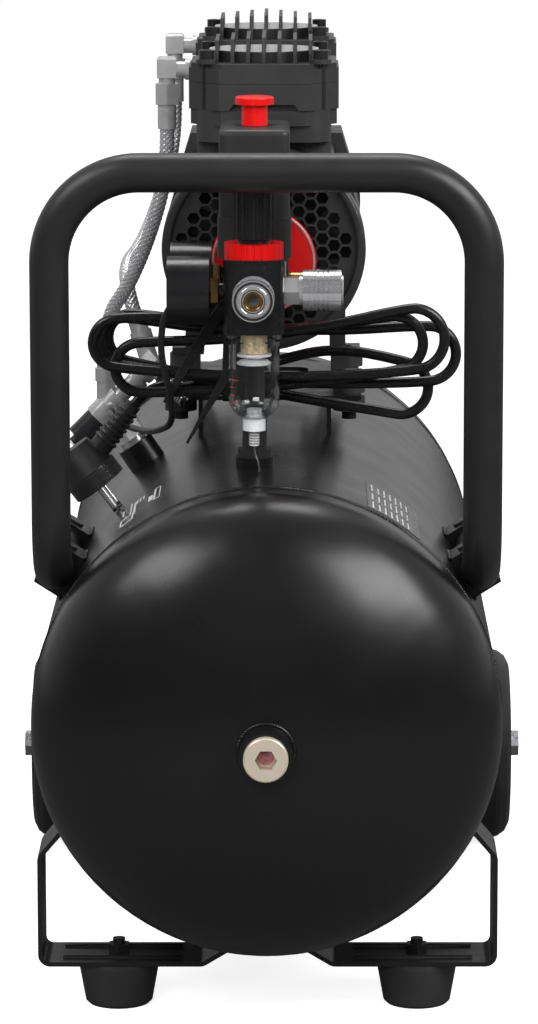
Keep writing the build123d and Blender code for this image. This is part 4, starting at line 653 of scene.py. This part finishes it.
def right_label():
    """Dark plate on the tank's upper right with a grey grid and blank dashes in place of its text."""
    film, grey, white = Shape(), Shape(), Shape()
    shell_patch(film, 64.6, 49.4, *LABEL_Y, 0.25, 0.35)
    lines = (64.0, 62.1, 60.4, 58.7, 57.0, 55.4, 53.8, 52.1, 49.9)
    for degrees in lines:
        shell_patch(grey, degrees, degrees - 0.12, LABEL_Y[0] + 3, LABEL_Y[1] - 3, 0.37, 0.15)
    for y in (LABEL_Y[0] + 3, -248.0, -216.0, LABEL_Y[1] - 3.6):
        shell_patch(grey, lines[0], lines[-1], y, y + 0.6, 0.37, 0.15)
    for column, (upper, lower) in enumerate(zip(lines, lines[1:-1])):
        middle = (upper + lower) / 2
        for row, (start, end) in enumerate(((-275.0, -251.0), (-244.0, -219.0), (-212.0, -188.0))):
            at = start
            for word in range(4):
                width = 2.4 + ((column * 7 + row * 5 + word * 3) % 5) * 0.9
                if at + width > end:
                    break
                shell_patch(white, middle + 0.22, middle - 0.22, at, at + width, 0.37, 0.15)
                at += width + 1.5
    film.piece("label_plate", extra["label_film"], slot="tank_paint")
    grey.piece("label_grid", extra["grey_print"], slot="tank_paint")
    white.piece("label_dashes", extra["white_print"], slot="tank_paint")


left_marks()
right_label()


def plug_socket():
    """Reddish plating inside the hexagon socket of the tank's plug."""
    cup = Shape()
    lathe(cup, [(0.01, 0.0), (4.6, 0.0), (4.9, 0.4), (0.01, 0.5)], (0, -SOCKET_FLOOR_Y, AXIS_Z),
          (0, -1, 0), 36)
    cup.piece("tank_plug_socket", extra["red_zinc"], slot="yellow_zinc")


plug_socket()


# ---------------------------------------------------------------- heads, fan end, switch
def head_plates():
    """Machined oval pads of both heads, as the strips that show between and beside the fins."""
    pads = Shape()
    for y in CYLINDER_YS:
        for n in range(8):
            middle = FIN_PITCH * (n - 3.5)
            left, right = max(middle - 3.8, -36.6), min(middle + 3.8, 36.6)
            steps = [left + (right - left) * i / 4 for i in range(5)]
            half = [32.6 * math.sqrt(max(0.0, 1.0 - (x / 37.0) ** 2)) for x in steps]
            outline = [(x, -h) for x, h in zip(steps, half)] + [(x, h) for x, h in zip(steps, half)][::-1]
            verts = [(MOTOR_X + x, y + dy, z) for z in (PAD_TOP - 0.1, PAD_TOP + 0.3) for x, dy in outline]
            pads.add(verts, grid_faces(2, len(outline), False, True))
    pads.piece("head_pads", extra["machined"], slot="cast_black", smooth=False)


def badge_rim():
    """Thin bright rim of the badge on the front fan cover."""
    rim = Shape()
    lathe(rim, ring_profile(33.4, 0.05, 0.7, 0.35, 0.2), BADGE_AT, (0, -1, 0), 96)
    rim.piece("badge_rim", extra["machined"], slot="red_plastic")


# ---------------------------------------------------------------- wheels
def treads():
    """Fine bars across the tread of each wheel."""
    for side, body in ((-1, "wheel_left"), (1, "wheel_right")):
        bars = Shape()
        for n in range(48):
            angle = 2 * math.pi * n / 48
            y, z = WHEEL_Y + TREAD_R * math.cos(angle), WHEEL_Z + TREAD_R * math.sin(angle)
            inner, outer = side * 152.5, side * 166.0
            points = [(inner, y, z), ((inner + outer) / 2, y, z), (outer, y, z)]
            sweep(bars, points, 0.35, 6)
        bars.piece(body + "_tread", paints["wheel_plastic"], body=body, slot="wheel_plastic")


treads()


# ---------------------------------------------------------------- gauges
def gauge_faces():
    """White dial with ticks and no figures on each gauge, seen from -X."""
    face, ticks, red = Shape(), Shape(), Shape()
    above_dial = Vector((-0.28, 0, 0))
    for y in GAUGE_YS:
        centre = Vector((DIAL_X, y, AIR_Z))
        lathe(face, [(0.01, 0.0), (18.8, 0.0), (18.8, 0.25), (0.01, 0.25)], centre, (-1, 0, 0), 72)
        for n in range(49):
            angle = math.radians(225.0 - 270.0 * n / 48)
            out = Vector((0, -math.cos(angle), math.sin(angle)))
            long = 3.0 if n % 8 == 0 else 1.6
            start = centre + above_dial + out * (18.0 - long)
            end = centre + above_dial + out * 18.0
            sweep(ticks if n < 40 else red, [start, start.lerp(end, 0.5), end], 0.14 if n % 8 else 0.24, 6)
    face.piece("dial_faces", extra["dial_white"], slot="gauge_black")
    ticks.piece("dial_ticks", paints["gauge_black"], slot="gauge_black")
    red.piece("dial_red_ticks", extra["red_print"], slot="gauge_black")


gauge_faces()


# ---------------------------------------------------------------- couplings
def coupling_details(name, origin, direction, body):
    """Grip bands that move with the sleeve, and the brass liner and polished rings of the fixed core."""
    origin = Vector(origin)
    grips = Shape()
    for height in (16.0, 18.2, 20.4):
        lathe(grips, ring_profile(12.9, height, 0.55, 0.55, 0.3), origin, direction, 72,
              ripple=lambda index, angle: 0.12 * math.sin(36 * angle))
    grips.piece(name + "_grip", paints["chrome"], body=body, slot="chrome")
    liner = Shape()
    lathe(liner, ring_profile(5.9, 36.9, 0.75, 0.8, 0.3), origin, direction, 48)
    lathe(liner, ring_profile(4.6, 33.0, 0.8, 2.0, 0.4), origin, direction, 48)
    liner.piece(name + "_liner", paints["brass"], slot="brass")
    lips = Shape()
    lathe(lips, round_profile(8.9, 37.0, 0.9, 16), origin, direction, 64)
    lips.piece(name + "_lip", paints["chrome"], slot="chrome")
    gap = Shape()
    lathe(gap, ring_profile(7.3, 37.5, 0.5, 0.25, 0.15), origin, direction, 64)
    gap.piece(name + "_seal", paints["rubber"], slot="chrome")
    # Flat dark ring on the sleeve's face: painted shade standing in for a groove.
    shade = Shape()
    lathe(shade, ring_profile(11.6, 36.35, 0.75, 0.15, 0.1), origin, direction, 64)
    shade.piece(name + "_painted_groove_shade", paints["black_anodised"], body=body, slot="chrome")


coupling_details("side_coupling", (11.1, REG_Y, AIR_Z), (1, 0, 0), "side_sleeve")
coupling_details("front_coupling", (AIR_X, -259.5, AIR_Z), (0, -1, 0), "front_sleeve")


# ---------------------------------------------------------------- regulator and bowl
def bowl_details():
    """Filter, its white discs, the red scale on the bowl and the drain's knurl and wire."""
    foot = (AIR_X, REG_Y, 0)
    core, discs, scale, wire = Shape(), Shape(), Shape(), Shape()
    lathe(core, [(0.01, 432.2), (8.0, 432.2), (8.6, 432.9), (8.6, 445.9), (0.01, 445.9)], foot, UP, 64)
    made = core.piece("filter_core", paints["sintered_bronze"], slot="sintered_bronze")
    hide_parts("filter_element")
    lathe(discs, [(0.01, 424.9), (10.6, 424.9), (11.1, 425.3), (11.1, 426.2), (9.0, 427.6), (5.0, 428.2),
                  (5.0, 430.2), (10.8, 430.2), (11.1, 430.5), (11.1, 431.6), (10.8, 432.0), (0.01, 432.0)],
          foot, UP, 64)
    discs.piece("bowl_discs", extra["white_nylon"], slot="sintered_bronze")
    for n in range(4):
        height = 401.0 + 5.0 * n
        line = []
        for step in range(7):
            angle = math.radians(203.0 + (3.0 if n % 3 else 5.0) * step)
            line.append((AIR_X + 16.55 * math.cos(angle), REG_Y + 16.55 * math.sin(angle), height))
        sweep(scale, line, 0.3, 6)
    scale.piece("bowl_scale", extra["red_print"], slot="clear_bowl")
    line = line_of([(AIR_X, REG_Y, 372.6), (AIR_X + 0.2, REG_Y, 366.0), (-5.5, REG_Y - 0.5, 361.0),
                    (-5.3, REG_Y, 354.5)], 6)
    sweep(wire, line, 0.5, 8)
    wire.piece("drain_wire", paints["zinc"], slot="drain_plastic")
    knurl = Shape()
    for n in range(5):
        lathe(knurl, ring_profile(3.2, 373.4 + 1.7 * n, 0.35, 0.6, 0.3), foot, UP, 40,
              ripple=lambda index, angle: 0.14 * math.sin(12 * angle))
    knurl.piece("drain_knurl", paints["chrome"], body="bowl_drain", slot="drain_plastic")


def knob_grips():
    """Fine grip ribs round the pressure knob."""
    ribs = Shape()
    for n in range(30):
        angle = 2 * math.pi * n / 30
        x, y = AIR_X + 12.95 * math.cos(angle), REG_Y + 12.95 * math.sin(angle)
        sweep(ribs, [(x, y, 510.0), (x, y, 523.0), (x, y, 537.0)], 0.38, 6)
    ribs.piece("pressure_knob_ribs", paints["knob_plastic"], body="pressure_knob", slot="knob_plastic")


def ring_clip():
    """Metal clip on the right of the regulator's lock ring."""
    clip = Shape()
    block(clip, (11.7, REG_Y, 486.5), (0.9, 5.2, 9.0), 0.4)
    block(clip, (10.9, REG_Y, 490.6), (2.4, 3.4, 0.9), 0.4)
    clip.piece("regulator_clip", paints["nickel"], slot="regulator_black")


def gauge_stems():
    """Brass hexagons between each gauge and the air line."""
    stems = Shape()
    for y in GAUGE_YS:
        lathe(stems, [(0.01, 0.2), (8.1, 0.2), (8.7, 0.8), (8.7, 5.4), (8.1, 6.0), (0.01, 6.0)],
              (-36.9, y, AIR_Z), (1, 0, 0), 6)
    stems.piece("gauge_stem_hexes", paints["brass"], slot="brass", smooth=False)


def painted_recess_shade():
    """Flat dark ring round the switch knob's stem: painted shade of an oval recess."""
    ring = Shape()
    lathe(ring, ring_profile(11.6, 0.0, 2.4, 0.12, 0.1), (AIR_X, SWITCH_KNOB_Y, SWITCH_TOP), UP, 64)
    ring.piece("painted_recess_shade", paints["black_nylon"], slot="switch_plastic")


gauge_stems()
painted_recess_shade()
bowl_details()
knob_grips()
ring_clip()


# ---------------------------------------------------------------- check valve side
TEE_AT = Vector((-81.3, VALVE_Y, 395.3))
TEE_OUT = Vector((0.66, -0.5, -0.5607))
VALVE_AT = Vector((-110.0, VALVE_Y, 366.0))
VALVE_ARM = Vector((0.7, 0.0, 0.7141))


def valve_details():
    """Knurl of the silencer and white tip of the relief valve."""
    knurl, tip = Shape(), Shape()
    start = TEE_AT + TEE_OUT * 13.0
    for n in range(9):
        lathe(knurl, ring_profile(6.0, 7.2 + 2.1 * n, 0.5, 0.8, 0.4), start, TEE_OUT, 60,
              ripple=lambda index, angle: 0.16 * math.sin(20 * angle))
    knurl.piece("silencer_knurl", paints["chrome"], slot="chrome")
    lathe(tip, [(0.01, 24.0), (3.6, 24.0), (3.7, 24.4), (3.2, 25.6), (0.01, 25.9)],
          VALVE_AT - VALVE_ARM * 11.0, -VALVE_ARM, 36)
    tip.piece("relief_tip", extra["white_nylon"], slot="nickel")


valve_details()


# ---------------------------------------------------------------- tube ends
def handle_caps():
    """Plugs in the two rear ends of the handle's tube."""
    caps = Shape()
    for side in (-1, 1):
        lathe(caps, [(0.01, -1.0), (10.6, -1.0), (10.6, 0.2), (12.2, 0.2), (12.4, 0.7), (11.8, 1.9),
                     (8.0, 2.5), (0.01, 2.6)], (side * HANDLE_X, HANDLE_BACK_Y, HANDLE_Z), (0, 1, 0), 48)
    caps.piece("handle_caps", paints["black_nylon"], slot="tube_paint")


handle_caps()
head_plates()
badge_rim()


# ---------------------------------------------------------------- floor, light, finish
def soft_box(name, size, place_at, aim, watts, glossy=True):
    """Area light in metres and watts, turned to a point; glossy says whether it is reflected."""
    data = bpy.data.lights.new(name, "AREA")
    data.shape = "RECTANGLE"
    data.size, data.size_y = size
    data.energy = watts
    light = bpy.data.objects.new(name, data)
    light.location = place_at
    light.visible_glossy = glossy
    light.rotation_euler = (Vector(aim) - Vector(place_at)).to_track_quat("-Z", "Y").to_euler()
    scene.collection.objects.link(light)


def white_room():
    """White behind the object to the camera only; what it reflects goes from dark in front to pale behind."""
    world = bpy.data.worlds.new("studio")
    world.use_nodes = True
    tree = world.node_tree
    tree.nodes.clear()
    out = tree.nodes.new("ShaderNodeOutputWorld")
    mix = tree.nodes.new("ShaderNodeMixShader")
    path = tree.nodes.new("ShaderNodeLightPath")
    split = tree.nodes.new("ShaderNodeSeparateXYZ")
    tree.links.new(tree.nodes.new("ShaderNodeTexCoord").outputs["Generated"], split.inputs[0])
    ramp = tree.nodes.new("ShaderNodeMapRange")
    ramp.interpolation_type = "SMOOTHSTEP"
    for socket, value in (("From Min", -0.45), ("From Max", 0.55), ("To Min", 0.06), ("To Max", 0.55)):
        ramp.inputs[socket].default_value = value
    tree.links.new(split.outputs["Y"], ramp.inputs["Value"])
    reflected, backdrop = (tree.nodes.new("ShaderNodeBackground") for _ in range(2))
    for slot, glow in ((1, reflected), (2, backdrop)):
        glow.inputs["Color"].default_value = WHITE_LIGHT
        tree.links.new(glow.outputs[0], mix.inputs[slot])
    tree.links.new(ramp.outputs["Result"], reflected.inputs["Strength"])
    tree.links.new(path.outputs["Is Camera Ray"], mix.inputs[0])
    tree.links.new(mix.outputs[0], out.inputs["Surface"])
    scene.world = world


def pale_floor():
    """Floor that is white to the camera only, and throws little light back on the object."""
    mesh = bpy.data.meshes.new("floor")
    half = 6.0
    corners = [(-half, -half, 0), (half, -half, 0), (half, half, 0), (-half, half, 0)]
    mesh.from_pydata(corners, [], [(0, 1, 2, 3)])
    white = surface("floor_white", (0.9, 0.9, 0.9), 0.7, patch=2.0, mottle=0.005, relief=0.01)
    tree = white.node_tree
    shader = tree.nodes["Principled BSDF"]
    shader.inputs["Emission Color"].default_value = WHITE_LIGHT
    shader.inputs["Emission Strength"].default_value = 0.8
    dull = tree.nodes.new("ShaderNodeBsdfDiffuse")
    dull.inputs["Color"].default_value = (0.16, 0.16, 0.16, 1.0)
    mix = tree.nodes.new("ShaderNodeMixShader")
    tree.links.new(tree.nodes.new("ShaderNodeLightPath").outputs["Is Camera Ray"], mix.inputs[0])
    tree.links.new(dull.outputs[0], mix.inputs[1])
    tree.links.new(shader.outputs[0], mix.inputs[2])
    tree.links.new(mix.outputs[0], tree.nodes["Material Output"].inputs["Surface"])
    mesh.materials.append(white)
    floor = bpy.data.objects.new("floor", mesh)
    scene.collection.objects.link(floor)


pale_floor()
white_room()
soft_box("left_box", (1.0, 0.6), (-1.1, -0.9, 1.7), (0.0, 0.0, 0.35), 12.0)
soft_box("right_box", (1.3, 0.9), (1.25, -1.1, 1.55), (0.0, 0.0, 0.35), 30.0)
soft_box("top_box", (0.9, 0.6), (0.0, 0.4, 1.9), (0.0, 0.0, 0.4), 9.0)
soft_box("front_fill", (1.4, 1.0), (-0.4, -2.4, 1.3), (0.0, 0.0, 0.4), 38.0, glossy=False)
scene.view_settings.view_transform = "Standard"
